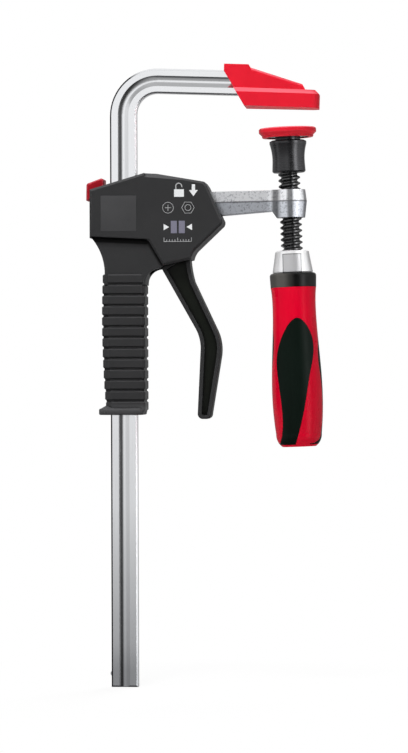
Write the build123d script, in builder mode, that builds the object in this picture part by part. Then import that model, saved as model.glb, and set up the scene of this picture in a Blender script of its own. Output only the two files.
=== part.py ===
from build123d import *

import os
from math import cos, radians, sin, sqrt, tan

# Quick release bar clamp, in millimetres.
# X runs from the rail to the spindle, Z along the rail towards the fixed jaw and Y from front to back.
# The origin is the middle of the fixed jaw's clamping face.

# ---- rail ----
RAIL_WIDTH = 19.5
RAIL_THICKNESS = 9.5
RAIL_BOTTOM_Z = -422.0
RAIL_EDGE_BEVEL = 1.1
RAIL_GROOVE_WIDTH = 7.6
RAIL_GROOVE_DEPTH = 0.8
THROAT_DEPTH = 105.5  # from the rail's inner edge to the middle of the jaw face
BEND_INNER_RADIUS = 15.0
JAW_ARM_HEIGHT = 18.0
JAW_ARM_TOP = 26.2  # above the clamping face
JAW_TOE = 2.0  # degrees that the jaw arm leans in, taken up when the clamp is loaded
STOP_NUB_Z = -412.0
STOP_NUB_RADIUS = 2.2
STOP_NUB_PROUD = 0.8

# ---- fixed jaw ----
CAP_FLOOR = 2.6
CAP_WALL = 2.6
CAP_FIT = 0.1
CAP_FOOT_LEFT = -26.2
CAP_FOOT_RIGHT = 27.8
CAP_FOOT_SIDE = 10.2
CAP_FOOT_SHOULDER = 3.0
CAP_WIDTH_AT_MOUTH = 32.0
CAP_WIDTH_AT_TIP = 24.0
CAP_TIP_ROUND = 7.0
CAP_HOOD_TOP = 30.2
CAP_HOOD_LEFT = -41.8
CAP_HOOD_SHOULDER_X = -24.0
CAP_MOUTH_TOP_HEIGHT = 25.0
JAW_WEB_END = 12.0
JAW_BAR_INSIDE = 2.3  # how far the profiled bar runs on inside the cap

# ---- slide arm, a drop forging ----
SLIDE_FIT = 0.15
GUIDE_TOP_Z = -68.5
GUIDE_HEIGHT = 17.5
GUIDE_WALL = 6.2
GUIDE_HALF_WIDTH = 12.6
ARM_HALF_WIDTH = 8.2
ARM_TOE = 1.0  # degrees that the arm rises towards the boss
ARM_TOP_HEIGHT = 8.0  # above the parting plane
ARM_BOTTOM_DEPTH = 9.2
ARM_BOSS_DEPTH = 7.0  # where its underside meets the boss
ARM_TAPER_LENGTH = 34.0
FORGING_DRAFT = 7.0  # degrees
BOSS_DIAMETER = 24.4
BOSS_HEIGHT = 20.3
BOSS_NECK_ROUND = 9.0

# ---- spindle assembly: heights are measured down its axis from the pad's clamping face ----
SPINDLE_TOE = 2.0
SPINDLE_X = 4.5
PAD_FACE_Z = -14.7
THREAD_DIAMETER = 16.0
THREAD_CLEARANCE = 0.05
PARTING_DEPTH = 53.4
BOSS_TOP_DEPTH = 45.0
PAD_DIAMETER = 41.8
PAD_RIM = 3.2
PAD_STEP = 2.2
PAD_HEIGHT = 6.9
PAD_FACE_THICKNESS = 2.6
PLATE_DIAMETER = 32.6
PLATE_NECK_DIAMETER = 18.2
COLLAR_TOP_DEPTH = 8.9
COLLAR_TOP_CHAMFER = 0.9
COLLAR_TOP_DIAMETER = 26.9
COLLAR_WAIST_DIAMETER = 23.6
COLLAR_WAIST_DEPTH = 20.5
COLLAR_BOTTOM_DIAMETER = 24.3
COLLAR_HEIGHT = 23.6
BALL_DIAMETER = 12.0
BALL_DEPTH = 17.0
STEM_DIAMETER = 8.0
JOINT_CLEARANCE = 0.05
JOURNAL_DIAMETER = 10.0
COLLAR_FLOOR = 4.5
SNAP_RING_THICKNESS = 1.0
FERRULE_TOP_DEPTH = 89.5
FERRULE_HEIGHT = 16.2
FERRULE_TOP_DIAMETER = 24.5
FERRULE_BOTTOM_DIAMETER = 29.4
HANDLE_RING_HEIGHT = 10.4
HANDLE_RING_DIAMETER = 33.9
HANDLE_TOP_DIAMETER = 33.2
HANDLE_WAIST_DIAMETER = 31.6
HANDLE_BELLY_DIAMETER = 35.7
HANDLE_LOWER_DIAMETER = 33.3
HANDLE_END_DIAMETER = 24.4
HANDLE_LENGTH = 116.0
HANDLE_TURN = 5.5  # degrees that the front inlay is turned towards the throat
INLAY_COUNT = 3
INLAY_DEPTH = 1.6
TANG_LENGTH = 52.0  # of the spindle inside the handle
HANDLE_PIN_DIAMETER = 3.0

# ---- housing ----
HEAD_HALF_DEPTH = 18.5
GRIP_HALF_DEPTH = 15.0
HOUSING_WALL = 2.8
HOUSING_CLEARANCE = 0.3
HEAD_LEFT_X = -138.8
HEAD_EDGE_ROUND = 1.6
GRIP_BACK_X = -130.6
GRIP_FRONT_X = -98.8
GRIP_FOOT_BELOW_RIBS = 2.0
GRIP_BACK_BEVEL = 4.6
GRIP_FRONT_BEVEL = 2.2
RIB_TOP_Z = -120.9
RIB_PITCH = 7.72
RIB_GROOVES = 12
RIB_GROOVE_DEPTH = 0.9
RIB_GROOVE_WIDTH = 1.5
SCREW_DIAMETER = 3.0
SCREW_HEAD_DIAMETER = 5.2
SCREW_HEAD_HEIGHT = 2.2
SCREW_SHELL_COVER = 3.8  # plastic left in front of a screw's tip
SCREW_SOCKET_DEPTH = 1.4
SCREW_BOSS_RADIUS = 4.0
TOP_RIDGE_LEFT = (-99.0, -47.5)
TOP_RIDGE_RIGHT = (-90.3, -47.9)
TOP_FRONT = (-55.2, -54.2)
TOP_FRONT_LOWER = (-53.2, -57.0)
NOSE_UPPER = (-42.9, -80.4)
NOSE = (-42.0, -83.4)
NOSE_UNDER = (-43.6, -86.4)
UNDER_BEND = (-60.6, -102.6)
UNDER_MIDDLE = (-63.3, -105.9)
ROOT_RIGHT = (-64.9, -110.3)
ROOT_LEFT = (-85.3, -114.7)
STEP_CORNER = (-95.8, -96.8)
HEAD_LEFT_TOP_Z = -59.3
HEAD_LEFT_FOOT_Z = -94.6
NECK_HALF_DEPTH = 14.0
NECK_SIDE_STEP = 1.2
NECK_BACK_MIDDLE = (-131.6, -104.2)
NECK_WAIST = (-128.2, -118.6)
ARCH_FOOT = (-98.4, -127.5)
ARCH_MIDDLE = (-95.2, -119.8)
ARCH_TOP = (-88.0, -116.8)
FACET_DROP = 3.0  # the facet along the head's upper edge, at its wide end
FACET_DEPTH = 6.0
RIB_HEIGHT = RIB_PITCH - 1.1
RIB_CHAMFER = 0.8
FLANGE_HEIGHT = 4.6
FLANGE_FLARE = 2.2
FLANGE_ROUND = 1.1
FLARE_HEIGHT = 2.2  # the hollow slope between the ribs and the flange
FLARE_SLOPE = 60.0  # degrees from upright
SCREW_PLACES = (
    (-84.0, -55.9),
    (-134.4, -89.9),
    (-54.0, -87.0),
    (-102.1, -146.0),
    (-102.1, -207.8),
)

# ---- pump lever and drive ----
LEVER_HALF_WIDTH = 10.0
LEVER_PIVOT_X = -90.0
LEVER_PIVOT_Z = -87.0
LEVER_PIN_DIAMETER = 6.0
LEVER_POCKET_DEPTH = 2.6
LEVER_RIM = 2.8
LEVER_HEAD_RADIUS = 7.0
CAM_ROUND = 3.2
CAM_REACH = 9.0  # from the pivot, across
CAM_DROP = 6.8  # from the pivot, down
CAM_GAP = 0.2
PLATE_THICKNESS = 4.0
PLATE_WIDTH = 18.0
PLATE_GRIP_CLEARANCE = 0.45  # each side of the rail's width
DRIVE_REACH = 10.6  # from the lever's pivot line to the plate's front end
DRIVE_TAIL = 6.0  # behind the rail
DRIVE_WIDTH = 22.0
DRIVE_SPRING_WIRE = 1.0
DRIVE_SPRING_RADIUS = 11.3
DRIVE_SPRING_LENGTH = 27.0
DRIVE_SPRING_TURNS = 5
LEVER_ROOT_LEFT = (-87.2, -116.4)
LEVER_ELBOW_LEFT = (-62.2, -160.8)
LEVER_ELBOW_MIDDLE_LEFT = (-59.6, -167.6)
LEVER_SHANK_LEFT = (-58.7, -175.5)
LEVER_TIP_LEFT = (-61.0, -222.6)
LEVER_TIP_RIGHT = (-51.0, -222.6)
LEVER_TIP_Z = -226.4
LEVER_TIP_FLAT_LEFT_X = -57.4
LEVER_TIP_FLAT_RIGHT_X = -54.6
LEVER_SHOULDER = (-66.8, -100.0)
LEVER_POCKET_TOP_LEFT = (-74.0, -108.0)
LEVER_POCKET_TOP_RIGHT = (-68.0, -108.0)
LEVER_WAY_LEFT_X = -96.8  # how far back the housing is open for the lever
LEVER_WAY_FOOT_Z = -132.0
LEVER_WAY_GAP = 0.7  # in front of the lever where it leaves the housing
LEVER_SHANK_RIGHT = (-44.2, -181.0)
LEVER_ELBOW_MIDDLE_RIGHT = (-44.3, -170.0)
LEVER_ELBOW_RIGHT = (-47.4, -160.6)
LEVER_NECK_RIGHT = (-63.6, -126.0)
LEVER_THROAT_RIGHT = (-65.5, -117.5)
LEVER_ROOT_RIGHT = (-66.4, -109.0)

# ---- brake and release ----
BRAKE_TILT = 5.0  # degrees that the brake plate is tipped when it holds
FULCRUM_X = -97.0
FULCRUM_Z = -62.0
FULCRUM_PIN_DIAMETER = 5.0
BRAKE_BACK_X = -136.5
BRAKE_SPRING_WIRE = 0.8
BRAKE_SPRING_RADIUS = 2.3
BRAKE_SPRING_TURNS = 5
TAB_HALF_WIDTH = 9.0
TAB_CLEARANCE = 0.5
TAB_TONGUE_WIDTH = 12.0
TAB_TONGUE_LENGTH = 8.0
TAB_LEFT_X = HEAD_LEFT_X - 3.3
TAB_TOP_Z = -50.7
TAB_FRONT_X = -129.2
TAB_FOOT_Z = -66.9

# ---- places that follow from the sizes ----
rail_inner_x = -THROAT_DEPTH
rail_outer_x = rail_inner_x - RAIL_WIDTH
rail_middle_x = rail_inner_x - RAIL_WIDTH / 2
jaw_slope = tan(radians(JAW_TOE))
jaw_plane = Plane(
    origin=(0, 0, 0),
    x_dir=(cos(radians(JAW_TOE)), 0, -sin(radians(JAW_TOE))),
    z_dir=(0, -1, 0),
)
jaw_plan = Plane(
    origin=(0, 0, 0),
    x_dir=(cos(radians(JAW_TOE)), 0, -sin(radians(JAW_TOE))),
    z_dir=(sin(radians(JAW_TOE)), 0, cos(radians(JAW_TOE))),
)
spindle_plan = Plane(
    origin=(SPINDLE_X, 0, PAD_FACE_Z),
    x_dir=(cos(radians(SPINDLE_TOE)), 0, sin(radians(SPINDLE_TOE))),
    z_dir=(-sin(radians(SPINDLE_TOE)), 0, cos(radians(SPINDLE_TOE))),
)
spindle_side = Plane(
    origin=spindle_plan.origin,
    x_dir=spindle_plan.x_dir,
    z_dir=(0, -1, 0),
)
spindle_axis = Axis(spindle_plan.origin, spindle_plan.z_dir)
arm_plan = Plane(
    origin=spindle_plan.offset(-PARTING_DEPTH).origin,
    x_dir=(cos(radians(ARM_TOE)), 0, sin(radians(ARM_TOE))),
    z_dir=(-sin(radians(ARM_TOE)), 0, cos(radians(ARM_TOE))),
)
arm_side = Plane(origin=arm_plan.origin, x_dir=arm_plan.x_dir, z_dir=(0, -1, 0))
brake_plan = Plane(
    origin=(FULCRUM_X, 0, FULCRUM_Z),
    x_dir=(cos(radians(BRAKE_TILT)), 0, -sin(radians(BRAKE_TILT))),
    z_dir=(sin(radians(BRAKE_TILT)), 0, cos(radians(BRAKE_TILT))),
)
fulcrum_pin_x = FULCRUM_X + (FULCRUM_PIN_DIAMETER / 2 + JOINT_CLEARANCE) * sin(radians(BRAKE_TILT))
fulcrum_pin_z = FULCRUM_Z + (FULCRUM_PIN_DIAMETER / 2 + JOINT_CLEARANCE) * cos(radians(BRAKE_TILT))


def turned_side(turn):
    """Plane through the spindle's axis, turned about it from the front towards the throat's far side."""
    across = spindle_plan.x_dir
    facing = Vector(0, -1, 0)
    return Plane(
        origin=spindle_plan.origin,
        x_dir=across * cos(radians(turn)) - facing * sin(radians(turn)),
        z_dir=facing * cos(radians(turn)) + across * sin(radians(turn)),
    )


def arm_top_z(x):
    """Height of the jaw arm's upper edge."""
    return (JAW_ARM_TOP / cos(radians(JAW_TOE))) - x * jaw_slope


def arm_under_z(x):
    """Height of the jaw arm's underside."""
    return arm_top_z(x) - JAW_ARM_HEIGHT / cos(radians(JAW_TOE))


def mouth_x(height):
    """The jaw cap's slanted mouth, at a height above the clamping face."""
    share = height / CAP_MOUTH_TOP_HEIGHT
    return CAP_FOOT_LEFT + (CAP_HOOD_LEFT - CAP_FOOT_LEFT) * share


def half_width_at(x, inset):
    """Half of the jaw cap's width in plan at a place along the face, less an inset."""
    share = (x - CAP_FOOT_LEFT) / (CAP_FOOT_RIGHT - CAP_FOOT_LEFT)
    return (CAP_WIDTH_AT_MOUTH + (CAP_WIDTH_AT_TIP - CAP_WIDTH_AT_MOUTH) * share) / 2 - inset


def jaw_foot_plan(left, right, inset):
    """Plan of the jaw's foot, tapered towards its tip."""
    left_half = half_width_at(left, inset)
    right_half = half_width_at(right, inset)
    Polygon((left, -left_half), (right, -right_half), (right, right_half), (left, left_half), align=None)


# ---- rail: profiled bar with its jaw arm and forged foot ----
foot_left = mouth_x(0) + 1.0
foot_right = CAP_FOOT_RIGHT - CAP_WALL - CAP_FIT
foot_inset = CAP_WALL + CAP_FIT
foot_bottom = CAP_FLOOR + CAP_FIT
foot_top = CAP_FOOT_SIDE - CAP_FIT
web_left = mouth_x(JAW_ARM_TOP - JAW_ARM_HEIGHT) + JAW_BAR_INSIDE
with BuildPart() as rail:
    with BuildSketch(Plane.XZ) as bar_outline:
        Polygon(
            (rail_outer_x, RAIL_BOTTOM_Z),
            (rail_inner_x, RAIL_BOTTOM_Z),
            (rail_inner_x, arm_under_z(rail_inner_x)),
            (web_left, arm_under_z(web_left)),
            (web_left, arm_top_z(web_left)),
            (rail_outer_x, arm_top_z(rail_outer_x)),
            align=None,
        )
        outer_corner = bar_outline.vertices().sort_by_distance((rail_outer_x, arm_top_z(rail_outer_x)))[0]
        fillet(outer_corner, radius=BEND_INNER_RADIUS + RAIL_WIDTH)
        inner_corner = bar_outline.vertices().sort_by_distance((rail_inner_x, arm_under_z(rail_inner_x)))[0]
        fillet(inner_corner, radius=BEND_INNER_RADIUS)
    extrude(amount=RAIL_THICKNESS / 2, both=True)
    front_edges = rail.faces().sort_by(Axis.Y)[0].edges()
    back_edges = rail.faces().sort_by(Axis.Y)[-1].edges()
    chamfer(front_edges + back_edges, length=RAIL_EDGE_BEVEL)
    # a shallow hollow runs down the middle of both wide faces and round the bend
    groove_radius = (RAIL_GROOVE_WIDTH**2 / 4 + RAIL_GROOVE_DEPTH**2) / (2 * RAIL_GROOVE_DEPTH)
    groove_height = RAIL_THICKNESS / 2 - RAIL_GROOVE_DEPTH + groove_radius
    arm_middle_z = (arm_top_z(rail_middle_x) + arm_under_z(rail_middle_x)) / 2
    web_middle_z = (arm_top_z(web_left) + arm_under_z(web_left)) / 2
    with BuildLine(Plane.XZ) as groove_path:
        FilletPolyline(
            (rail_middle_x, RAIL_BOTTOM_Z - 1),
            (rail_middle_x, arm_middle_z),
            (web_left, web_middle_z),
            radius=BEND_INNER_RADIUS + RAIL_WIDTH / 2,
        )
    for side in (-1, 1):
        with BuildSketch(Plane.XY.offset(RAIL_BOTTOM_Z - 1)) as groove_section:
            with Locations((rail_middle_x, side * groove_height)):
                Circle(groove_radius)
        sweep(path=groove_path.line, mode=Mode.SUBTRACT)
    # the jaw end is forged out into a web and a tapered foot
    with BuildSketch(jaw_plane) as web_outline:
        Polygon(
            (web_left - 0.5, JAW_ARM_TOP - JAW_ARM_HEIGHT),
            (web_left - 0.5, JAW_ARM_TOP),
            (CAP_HOOD_SHOULDER_X, JAW_ARM_TOP),
            (JAW_WEB_END, CAP_FOOT_SIDE + CAP_FOOT_SHOULDER),
            (JAW_WEB_END, foot_bottom + 1),
            (foot_left + 1, foot_bottom + 1),
            align=None,
        )
    extrude(amount=RAIL_THICKNESS / 2 - RAIL_GROOVE_DEPTH, both=True)
    with BuildSketch(jaw_plan.offset(foot_bottom)) as foot_outline:
        jaw_foot_plan(foot_left, foot_right, foot_inset)
        foot_tip = foot_outline.vertices().group_by(Axis.X)[-1]
        fillet(foot_tip, radius=CAP_TIP_ROUND - CAP_WALL)
    extrude(amount=foot_top - foot_bottom)
    # the end stop, raised on the rail's rear edge
    nub_centre_x = rail_outer_x + STOP_NUB_RADIUS - STOP_NUB_PROUD
    with BuildSketch(Plane.XZ) as stop_nub:
        with Locations((nub_centre_x, STOP_NUB_Z)):
            Circle(STOP_NUB_RADIUS)
    extrude(amount=RAIL_THICKNESS / 2 - RAIL_EDGE_BEVEL, both=True)
rail.part.label = "rail"
export_step(rail.part, "parts/rail.step")

# ---- jaw cap: a hood over the arm and a pad round the foot ----
with BuildPart() as jaw_cap:
    with BuildSketch(jaw_plane) as hood_outline:
        Polygon(
            (mouth_x(0), 1.0),
            (CAP_HOOD_LEFT, CAP_MOUTH_TOP_HEIGHT),
            (CAP_HOOD_LEFT, CAP_HOOD_TOP),
            (CAP_HOOD_SHOULDER_X, CAP_HOOD_TOP),
            (CAP_HOOD_SHOULDER_X + 1.2, CAP_HOOD_TOP - 2.0),
            (CAP_FOOT_RIGHT - 12.5, CAP_FOOT_SIDE + 7.0),
            (CAP_FOOT_RIGHT - 9.5, CAP_FOOT_SIDE + 2.0),
            (CAP_FOOT_RIGHT - 9.5, 1.0),
            align=None,
        )
    extrude(amount=CAP_WIDTH_AT_MOUTH, both=True)
    with BuildSketch(jaw_plan) as hood_plan:
        hood_left = CAP_HOOD_LEFT - 1
        hood_right = CAP_FOOT_RIGHT
        hood_left_half = half_width_at(CAP_FOOT_LEFT, CAP_FOOT_SHOULDER)
        hood_right_half = half_width_at(hood_right, CAP_FOOT_SHOULDER)
        Polygon(
            (hood_left, -hood_left_half),
            (CAP_FOOT_LEFT, -hood_left_half),
            (hood_right, -hood_right_half),
            (hood_right, hood_right_half),
            (CAP_FOOT_LEFT, hood_left_half),
            (hood_left, hood_left_half),
            align=None,
        )
    extrude(amount=CAP_HOOD_TOP + 1, mode=Mode.INTERSECT)
    slope_edges = jaw_cap.edges().filter_by(lambda edge: edge.length > 36 and edge.center().Z > CAP_FOOT_SIDE)
    fillet(slope_edges, radius=3.0)
    with BuildSketch(jaw_plan) as cap_foot:
        jaw_foot_plan(CAP_HOOD_LEFT, CAP_FOOT_RIGHT, 0)
        cap_tip = cap_foot.vertices().group_by(Axis.X)[-1]
        fillet(cap_tip, radius=CAP_TIP_ROUND)
    extrude(amount=CAP_FOOT_SIDE)
    with BuildSketch(jaw_plan.offset(CAP_FOOT_SIDE)) as cap_shoulder:
        jaw_foot_plan(CAP_HOOD_LEFT, CAP_FOOT_RIGHT, 0)
        shoulder_tip = cap_shoulder.vertices().group_by(Axis.X)[-1]
        fillet(shoulder_tip, radius=CAP_TIP_ROUND)
    extrude(amount=CAP_FOOT_SHOULDER, taper=45)
    # the mouth is cut back at a slant
    with BuildSketch(jaw_plane) as mouth_cut:
        Polygon(
            (mouth_x(0), -1.0),
            (mouth_x(0), 0.0),
            (CAP_HOOD_LEFT, CAP_MOUTH_TOP_HEIGHT),
            (CAP_HOOD_LEFT - 20, CAP_MOUTH_TOP_HEIGHT),
            (CAP_HOOD_LEFT - 20, -1.0),
            align=None,
        )
    extrude(amount=CAP_WIDTH_AT_MOUTH, both=True, mode=Mode.SUBTRACT)
    # the hollow for the arm, the web and the forged foot
    with BuildSketch(jaw_plane) as web_hollow:
        Polygon(
            (CAP_HOOD_LEFT - 20, foot_top),
            (CAP_HOOD_LEFT - 20, JAW_ARM_TOP + CAP_FIT),
            (CAP_HOOD_SHOULDER_X + CAP_FIT, JAW_ARM_TOP + CAP_FIT),
            (JAW_WEB_END + CAP_FIT, CAP_FOOT_SIDE + CAP_FOOT_SHOULDER + CAP_FIT),
            (JAW_WEB_END + CAP_FIT, foot_bottom + 1),
            (foot_left, foot_bottom + 1),
            align=None,
        )
    extrude(amount=RAIL_THICKNESS / 2 + CAP_FIT, both=True, mode=Mode.SUBTRACT)
    with BuildSketch(jaw_plan.offset(CAP_FLOOR)) as foot_hollow:
        jaw_foot_plan(CAP_HOOD_LEFT, CAP_FOOT_RIGHT - CAP_WALL, CAP_WALL)
        hollow_tip = foot_hollow.vertices().group_by(Axis.X)[-1]
        fillet(hollow_tip, radius=CAP_TIP_ROUND - CAP_WALL)
    extrude(amount=CAP_FOOT_SIDE - CAP_FLOOR, mode=Mode.SUBTRACT)
jaw_cap.part.label = "jaw_cap"
export_step(jaw_cap.part, "parts/jaw_cap.step")

# ---- slide arm: guide on the rail, arm, and threaded boss, drafted both ways from the parting plane ----
guide_bottom_z = GUIDE_TOP_Z - GUIDE_HEIGHT
guide_back_x = rail_outer_x - SLIDE_FIT - GUIDE_WALL
guide_front_x = rail_inner_x + SLIDE_FIT + GUIDE_WALL + 1.0
ear_front_x = FULCRUM_X + FULCRUM_PIN_DIAMETER
ear_top_z = FULCRUM_Z + FULCRUM_PIN_DIAMETER + 1.2
arm_start = guide_front_x - SPINDLE_X - 4.0
arm_end = -BOSS_DIAMETER / 2 - 1.0
boss_up = PARTING_DEPTH - BOSS_TOP_DEPTH
boss_down = BOSS_HEIGHT - boss_up
with BuildPart() as slide_arm:
    with BuildSketch(arm_plan) as forging_plan:
        Circle(BOSS_DIAMETER / 2)
        with Locations((arm_start / 2, 0)):
            Rectangle(-arm_start, 2 * ARM_HALF_WIDTH)
        neck_corners = forging_plan.vertices().filter_by(lambda corner: -BOSS_DIAMETER < corner.X < 0)
        fillet(neck_corners, radius=BOSS_NECK_ROUND)
    extrude(amount=boss_up, taper=FORGING_DRAFT)
    with BuildSketch(arm_plan) as forging_plan_below:
        add(forging_plan.sketch_local)
    extrude(amount=-boss_down, taper=FORGING_DRAFT)
    # the arm is shallower than the boss, and its underside rises towards it
    with BuildSketch(arm_side) as arm_relief:
        Polygon(
            (arm_start - 1, ARM_TOP_HEIGHT),
            (arm_end, ARM_TOP_HEIGHT),
            (arm_end, boss_up + 1),
            (arm_start - 1, boss_up + 1),
            align=None,
        )
        Polygon(
            (arm_start - 1, -ARM_BOTTOM_DEPTH),
            (arm_end - ARM_TAPER_LENGTH, -ARM_BOTTOM_DEPTH),
            (arm_end, -ARM_BOSS_DEPTH),
            (arm_end + 4.0, -boss_down - 1),
            (arm_start - 1, -boss_down - 1),
            align=None,
        )
    extrude(amount=BOSS_DIAMETER, both=True, mode=Mode.SUBTRACT)
    # the guide round the rail, with two ears over the brake plate for the fulcrum pin
    with BuildSketch(Plane.XZ) as guide_side:
        Polygon(
            (guide_back_x, guide_bottom_z),
            (guide_front_x, guide_bottom_z),
            (guide_front_x, GUIDE_TOP_Z - 9.5),
            (ear_front_x + 3, GUIDE_TOP_Z - 9.5),
            (ear_front_x + 3, GUIDE_TOP_Z),
            (ear_front_x, ear_top_z),
            (FULCRUM_X - FULCRUM_PIN_DIAMETER, ear_top_z),
            (FULCRUM_X - FULCRUM_PIN_DIAMETER, GUIDE_TOP_Z),
            (guide_back_x, GUIDE_TOP_Z),
            align=None,
        )
        ear_corners = guide_side.vertices().group_by(Axis.Y)[-1]
        fillet(ear_corners, radius=2.5)
    extrude(amount=GUIDE_HALF_WIDTH, both=True)
    plate_slot_half = PLATE_WIDTH / 2 + 0.4
    with BuildSketch(Plane.XZ) as plate_slot:
        slot_end_x = FULCRUM_X + FULCRUM_PIN_DIAMETER / 2 + 1.5
        Polygon(
            (guide_back_x - 1, GUIDE_TOP_Z),
            (slot_end_x, GUIDE_TOP_Z),
            (slot_end_x, ear_top_z + 1),
            (guide_back_x - 1, ear_top_z + 1),
            align=None,
        )
    extrude(amount=plate_slot_half, both=True, mode=Mode.SUBTRACT)
    with BuildSketch(Plane.XY.offset(guide_bottom_z - 1)) as rail_hole:
        with Locations((rail_middle_x, 0)):
            Rectangle(RAIL_WIDTH + 2 * SLIDE_FIT, RAIL_THICKNESS + 2 * SLIDE_FIT)
    extrude(amount=GUIDE_HEIGHT + 2, mode=Mode.SUBTRACT)
    with BuildSketch(Plane.XZ) as fulcrum_hole:
        with Locations((fulcrum_pin_x, fulcrum_pin_z)):
            Circle(FULCRUM_PIN_DIAMETER / 2)
    extrude(amount=GUIDE_HALF_WIDTH + 1, both=True, mode=Mode.SUBTRACT)
    spring_seat_x = guide_back_x + GUIDE_WALL / 2
    spring_seat_z = GUIDE_TOP_Z - 9.0
    with BuildSketch(Plane.XY.offset(spring_seat_z)) as spring_hole:
        with Locations((spring_seat_x, 0)):
            Circle(BRAKE_SPRING_RADIUS + BRAKE_SPRING_WIRE / 2 + 0.1)
    extrude(amount=20, mode=Mode.SUBTRACT)
    # the threaded bore, at the thread's major diameter
    with BuildSketch(spindle_plan.offset(-BOSS_TOP_DEPTH + 1)) as thread_bore:
        Circle(THREAD_DIAMETER / 2 + THREAD_CLEARANCE)
    extrude(amount=-(BOSS_HEIGHT + 2), mode=Mode.SUBTRACT)
slide_arm.part.label = "slide_arm"
export_step(slide_arm.part, "parts/slide_arm.step")

# ---- fulcrum pin ----
with BuildPart() as fulcrum_pin:
    with BuildSketch(Plane.XZ) as fulcrum_pin_section:
        with Locations((fulcrum_pin_x, fulcrum_pin_z)):
            Circle(FULCRUM_PIN_DIAMETER / 2)
    extrude(amount=GUIDE_HALF_WIDTH, both=True)
    chamfer(fulcrum_pin.edges().filter_by(GeomType.CIRCLE), length=0.5)
fulcrum_pin.part.label = "fulcrum_pin"
export_step(fulcrum_pin.part, "parts/fulcrum_pin.step")

# ---- brake plate: tipped on the rail, its front end under the fulcrum pin ----
brake_front = FULCRUM_PIN_DIAMETER / 2
brake_length = brake_front + (FULCRUM_X - BRAKE_BACK_X) / cos(radians(BRAKE_TILT)) - TAB_TONGUE_LENGTH
plate_hole_length = RAIL_WIDTH + 2 * PLATE_GRIP_CLEARANCE
plate_hole_width = RAIL_THICKNESS + 2 * SLIDE_FIT
brake_hole_lean = PLATE_THICKNESS / 2 * sin(radians(BRAKE_TILT))
with BuildPart() as brake_plate:
    with BuildSketch(brake_plan) as brake_outline:
        with Locations((brake_front - brake_length / 2, 0)):
            Rectangle(brake_length, PLATE_WIDTH)
        with Locations((brake_front - brake_length - TAB_TONGUE_LENGTH / 2, 0)):
            Rectangle(TAB_TONGUE_LENGTH, TAB_TONGUE_WIDTH)
        with Locations(((rail_middle_x - FULCRUM_X + brake_hole_lean) / cos(radians(BRAKE_TILT)), 0)):
            Rectangle(plate_hole_length, plate_hole_width, mode=Mode.SUBTRACT)
    extrude(amount=-PLATE_THICKNESS)
brake_plate.part.label = "brake_plate"
export_step(brake_plate.part, "parts/brake_plate.step")

# ---- release tab: thumb piece clipped over the brake plate's tongue ----
tab_core_x = BRAKE_BACK_X - 2.6
with BuildPart() as release_tab:
    with BuildSketch(Plane.XZ) as tab_outline:
        Polygon(
            (TAB_FRONT_X, TAB_TOP_Z - 0.8),
            (TAB_FRONT_X - 1.8, TAB_TOP_Z),
            (TAB_LEFT_X + 0.2, TAB_TOP_Z - 4.0),
            (TAB_LEFT_X, TAB_FOOT_Z),
            (TAB_LEFT_X + 2.4, TAB_FOOT_Z),
            (tab_core_x, TAB_FOOT_Z + 1.4),
            (TAB_FRONT_X - 3.4, TAB_FOOT_Z + 1.4),
            (TAB_FRONT_X, TAB_TOP_Z - 6.8),
            align=None,
        )
        tab_corner = tab_outline.vertices().sort_by_distance((TAB_LEFT_X, TAB_TOP_Z - 4.0))[0]
        fillet(tab_corner, radius=2.0)
    extrude(amount=TAB_HALF_WIDTH, both=True)
    chamfer(release_tab.faces().sort_by(Axis.Y)[0].outer_wire().edges(), length=0.8)
    chamfer(release_tab.faces().sort_by(Axis.Y)[-1].outer_wire().edges(), length=0.8)
    with BuildSketch(brake_plan.offset(CAP_FIT)) as tongue_pocket:
        with Locations((brake_front - brake_length - TAB_TONGUE_LENGTH / 2 + CAP_FIT, 0)):
            Rectangle(TAB_TONGUE_LENGTH + 4 * CAP_FIT, TAB_TONGUE_WIDTH + 2 * CAP_FIT)
    extrude(amount=-(PLATE_THICKNESS + 2 * CAP_FIT), mode=Mode.SUBTRACT)
release_tab.part.label = "release_tab"
export_step(release_tab.part, "parts/release_tab.step")

# ---- brake spring: in its blind hole in the guide, under the brake plate's rear ----
plate_underside_z = FULCRUM_Z + (FULCRUM_X - spring_seat_x) * tan(radians(BRAKE_TILT)) - PLATE_THICKNESS
with BuildPart() as brake_spring:
    brake_spring_height = plate_underside_z - spring_seat_z - 2 * BRAKE_SPRING_WIRE
    with BuildLine(Plane(origin=(spring_seat_x, 0, spring_seat_z + BRAKE_SPRING_WIRE))) as brake_coil:
        Helix(
            pitch=brake_spring_height / BRAKE_SPRING_TURNS,
            height=brake_spring_height,
            radius=BRAKE_SPRING_RADIUS,
        )
    with BuildSketch(Plane(origin=brake_coil.line @ 0, z_dir=brake_coil.line % 0)) as brake_wire:
        Circle(BRAKE_SPRING_WIRE / 2)
    sweep(path=brake_coil.line, is_frenet=True)
brake_spring.part.label = "brake_spring"
export_step(brake_spring.part, "parts/brake_spring.step")

# ---- drive plate: level on the rail, its front end under the lever's cam ----
drive_top_z = LEVER_PIVOT_Z - CAM_DROP - CAM_ROUND - CAM_GAP
drive_front_x = LEVER_PIVOT_X + DRIVE_REACH + CAM_GAP
drive_back_x = rail_outer_x - DRIVE_TAIL
with BuildPart() as drive_plate:
    with BuildSketch(Plane.XY.offset(drive_top_z)) as drive_outline:
        with Locations(((drive_front_x + drive_back_x) / 2, 0)):
            RectangleRounded(drive_front_x - drive_back_x, DRIVE_WIDTH, 3.0)
        with Locations((rail_middle_x, 0)):
            Rectangle(plate_hole_length, plate_hole_width, mode=Mode.SUBTRACT)
    extrude(amount=-PLATE_THICKNESS)
drive_plate.part.label = "drive_plate"
export_step(drive_plate.part, "parts/drive_plate.step")

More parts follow.
